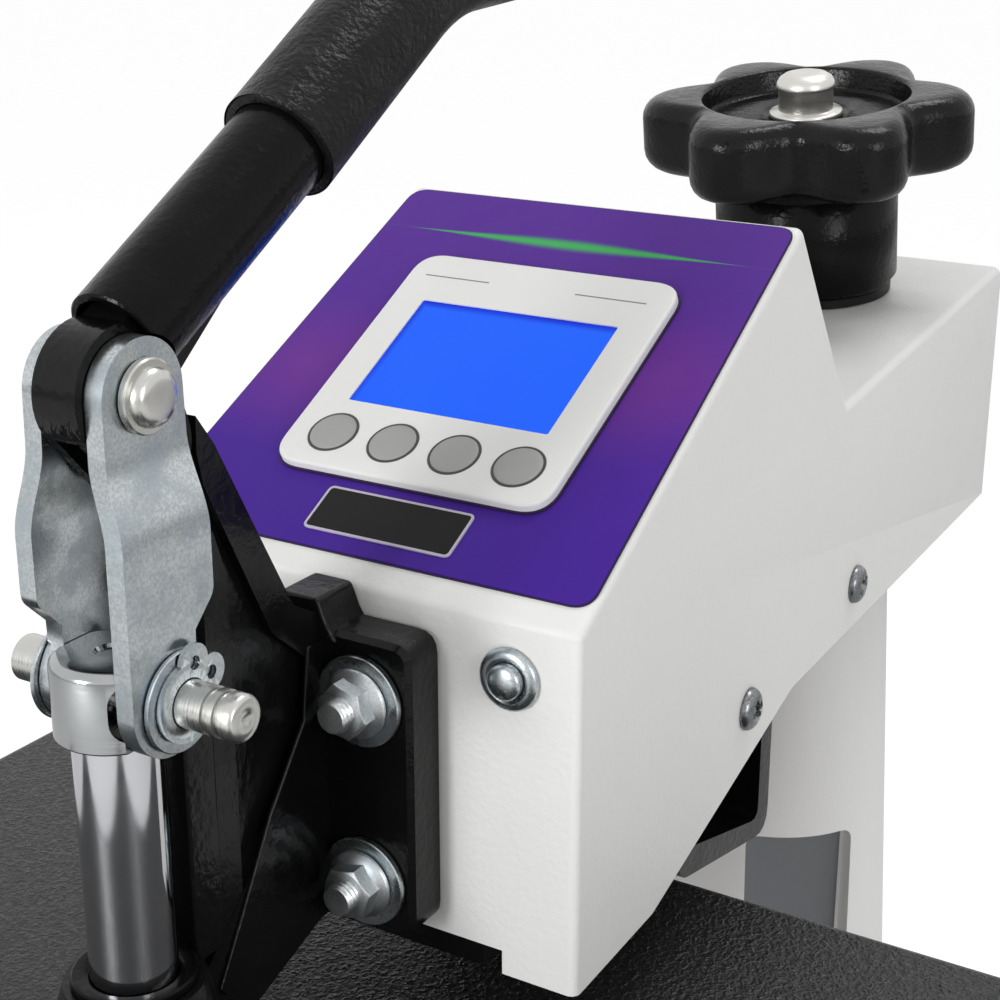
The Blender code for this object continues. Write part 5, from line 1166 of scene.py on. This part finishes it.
def make_top_pin():
    """The domed pin at the top of the links."""
    half = mm([(5.5, 11.85), (8.3, 11.85), (8.6, 12.15), (8.6, 13.45), (8.2, 13.85), (6.9, 13.85),
               (6.8, 14.75), (6.4, 15.75), (5.4, 16.55), (3.8, 16.95), (1.0, 17.05)])
    profile = [(radius, -along) for radius, along in reversed(half)] + half
    shell("top_pin", moved(turned(profile, 80), at(TOP_PIN, LAY_ALONG_X)), PIN)


# Links, cross pin and rod

def link_outline():
    """A link from its side, as (Y, Z) from the cross pin's axis."""
    low = arc((-2.2 * MM, 0), 12.8 * MM, 180, 405, 32)
    rear = rounded(mm([(7, 15), (14, 22), (14, 38)]), mm([0, 5, 0]), 8)
    top = arc((0, 71.3 * MM), 13 * MM, 0, 180, 32)
    front = rounded(mm([(-13, 71.3), (-13, 60), (-15, 38), (-15, 0)]), mm([0, 12, 12, 0]), 6)[1:-1]
    return [*low, *rear, *top, *front]


def link_side(rise):
    """How far the link's inner face stands from the middle, by its height."""
    wide = 11.5 * MM
    near = 6.55 * MM
    share = min(max((rise - 38 * MM) / (22 * MM), 0.0), 1.0)
    return wide + (near - wide) * share * share * (3 - 2 * share)


def make_links():
    """Two joggled straps with eased, punched edges."""
    for side, degrees in (("right", 0), ("left", 180)):
        bm = prism(link_outline(), 0, 5 * MM)
        for height in range(37, 62):
            parts = bm.verts[:] + bm.edges[:] + bm.faces[:]
            bmesh.ops.bisect_plane(bm, geom=parts, plane_co=(0, 0, height * MM), plane_no=(0, 0, 1))
        for vert in bm.verts:
            vert.co.x += link_side(vert.co.z)
        link = shell("link_" + side, moved(bm, at(CROSS_PIN, spun(degrees))), ZINC, 0.7 * MM, 3, 50)
        carve(link, across_rod(CROSS_PIN, 6.05 * MM, 40 * MM))
        carve(link, across_rod(TOP_PIN, 5.8 * MM, 40 * MM))
        link.data.shade_smooth()
    make_cross_pin()


def make_cross_pin():
    """The grooved pin, its washers and the eared clip."""
    profile = [(0.6, -31.2), (4.7, -31.5), (5.75, -30.5)]
    for groove in (27.3, 30.7):
        profile += [(5.75, groove - 0.15), (5.05, groove), (5.05, groove + 1.2), (5.75, groove + 1.35)]
    profile += [(5.75, 34.9), (5.45, 35.6), (4.8, 36.1), (1.6, 36.12), (0.9, 35.6)]
    axis = at(CROSS_PIN, LAY_ALONG_X)
    shell("cross_pin", moved(turned(mm(profile), 80), axis), PIN)
    inner = 16.8 * MM
    thick = 1.2 * MM
    for side, low in (("right", inner), ("left", -inner - thick)):
        flat = moved(washer(6.1 * MM, 12.3 * MM, thick), axis @ at((0, 0, low)))
        shell("cross_washer_" + side, flat, ZINC)
    make_clip(inner + thick + 0.3 * MM)


def make_clip(low):
    """The retaining clip with its two pierced ears."""
    high = low + 1.4 * MM
    over = 2 * MM
    bore = 6.05 * MM
    axis = at(CROSS_PIN, LAY_ALONG_X)
    ring = turned([(bore, low), (9.6 * MM, low), (9.6 * MM, high), (bore, high)], 80, True)
    clip = shell("retaining_clip", moved(ring, axis), ZINC, 0.25 * MM, 2, 40)
    ears = [at(CROSS_PIN + Vector((0, *polar(9.4 * MM, degrees))), LAY_ALONG_X) for degrees in (30, 74)]
    for ear in ears:
        carve(clip, moved(drum(4.6 * MM, low + 0.1 * MM, high - 0.1 * MM, 48), ear), "UNION")
    for ear in ears:
        carve(clip, moved(drum(1.7 * MM, low - over, high + over, 32), ear))
    carve(clip, moved(drum(bore, low - over, high + over, 80), axis))
    clip.data.shade_smooth()


def make_rod():
    """The chromed rod, its flange and the collar with its slotted cross hole."""
    bottom = CROSS_PIN.z - 10 * MM
    top = CROSS_PIN.z + 10 * MM
    foot = PLATE_TOP + 0.3 * MM
    axis = at((0, ROD_Y, 0))
    flange = mm([(27, 0), (27, 10), (26, 11), (12, 11), (10.8, 12.5)])
    profile = [(radius, foot + rise) for radius, rise in flange]
    profile.append((10.8 * MM, bottom - 0.3 * MM))
    shell("press_rod", moved(turned(profile, 128), axis), CHROME)
    profile = [(14.1, -10), (14.5, -9.5), (14.5, 7.6), (14.2, 8.6), (13.2, 9.6), (12.2, 10), (4, 10),
               (3.4, 9.2)]
    axis = at((0, ROD_Y, CROSS_PIN.z))
    collar = shell("rod_collar", moved(turned(mm(profile), 128), axis), COLLAR)
    far = 30 * MM
    flat = 11.2 * MM
    over = 1 * MM
    for left, right in ((-far, -flat), (flat, far)):
        carve(collar, box((left, ROD_Y - far, bottom - over), (right, ROD_Y + far, top + over)))
    slot = [(CROSS_PIN.y + back, CROSS_PIN.z + rise) for back, rise in
            mm([(-15.1, -7.6), (6.1, -7.6), (6.1, 7.6), (-15.1, 7.6)])]
    carve(collar, prism(rounded(slot, 5.75 * MM), -far, far))
    sharpen(collar)


def make_platen():
    """Heat plate and the textured cover over it."""
    dressed("heat_plate", ALUMINIUM, 0.7 * MM)
    dressed("platen_shroud", SHROUD, 1.2 * MM, 4, 34)


# Pressure knob

def lobed(inset, height, steps):
    """A ring of the knob's lobed outline, moved in by an inset."""
    ring = []
    for step in range(steps):
        degrees = 360 * step / steps
        wave = math.cos(math.radians(6 * (degrees - 18.4)))
        reach = 55.35 * MM + 7.85 * MM * (wave + 0.18 * (1 - wave * wave)) - inset
        ring.append((*polar(max(reach, 41.4 * MM), degrees), height))
    return ring


def make_knob():
    """The lobed hand knob with its dished middle, cap nut and barrel."""
    steps = 192
    tilt = math.radians(KNOB_TILT)
    axis = at(KNOB_TOP, spun(KNOB_TILT, "X"))
    wide = 35.4 * MM
    narrow = 34.9 * MM
    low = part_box("pressure_knob")[0]
    bottom = (low.z - KNOB_TOP.z + wide * math.sin(tilt)) / math.cos(tilt)
    height = 28.5 * MM
    soft = 8 * MM
    lip = 1.6 * MM
    barrel = [(narrow, bottom), (wide, bottom + 0.6 * MM)]
    barrel += mm([(35.4, -34.0), (34.9, -33.7), (34.9, -33.3), (35.4, -33.1), (35.4, -29.3), (36.4, -28.5)])
    piece("knob_barrel", moved(turned(barrel, steps), axis), TUBE, "knob", sharp=60)
    rings = [circle(36.2 * MM, -height, steps)]
    for degrees in range(-90, 1, 18):
        out, up = polar(soft, degrees)
        rings.append(lobed(soft - out, soft + up - height, steps))
    for degrees in range(0, 91, 15):
        out, up = polar(soft, degrees)
        rings.append(lobed(soft - out, up - soft, steps))
    for degrees in (90, 65, 40, 15):
        out, up = polar(lip, degrees)
        rings.append(circle(41.0 * MM - out, up - lip, steps))
    dish = mm([(39.4, -7.8), (38.6, -9.3), (36.0, -9.5), (34.6, -9.2), (33.8, -8.0), (33.2, -7.8),
               (17.6, -7.4), (16.8, -8.0), (15.6, -8.7)])
    rings += [circle(radius, rise, steps) for radius, rise in dish]
    shell("pressure_knob", moved(skin(rings), axis), KNOB, sharp=60)
    cap = mm([(8, -8.5), (13.6, -8.5), (14.1, -8.0), (14.1, -7.0), (13.6, -6.5), (11.4, -6.5), (11.2, -6.4),
              (10.4, -6.0), (10.4, 1.3), (11.1, 2.1), (11.2, 3.1), (10.9, 4.5), (9.9, 6.1), (8.1, 7.3),
              (5.6, 8.0), (4.9, 7.9), (1.2, 8.1)])
    shell("knob_cap_nut", moved(turned(cap), axis), POST_STEEL, sharp=50)
    ring = mm([(12, -2), (32.4, -2), (33, -1.4), (33, 1.4), (32.4, 2), (12, 2)])
    shell("knob_ring", moved(turned(ring, 96, True), knob_seat()), DARK)


for node, surface in KEPT_NODES.items():
    wear(node, surface)
make_studio()
make_base()
make_upright()
make_head()
make_panel()
make_button()
make_bracket()
make_lever()
make_handle()
make_top_pin()
make_links()
make_rod()
make_platen()
make_knob()
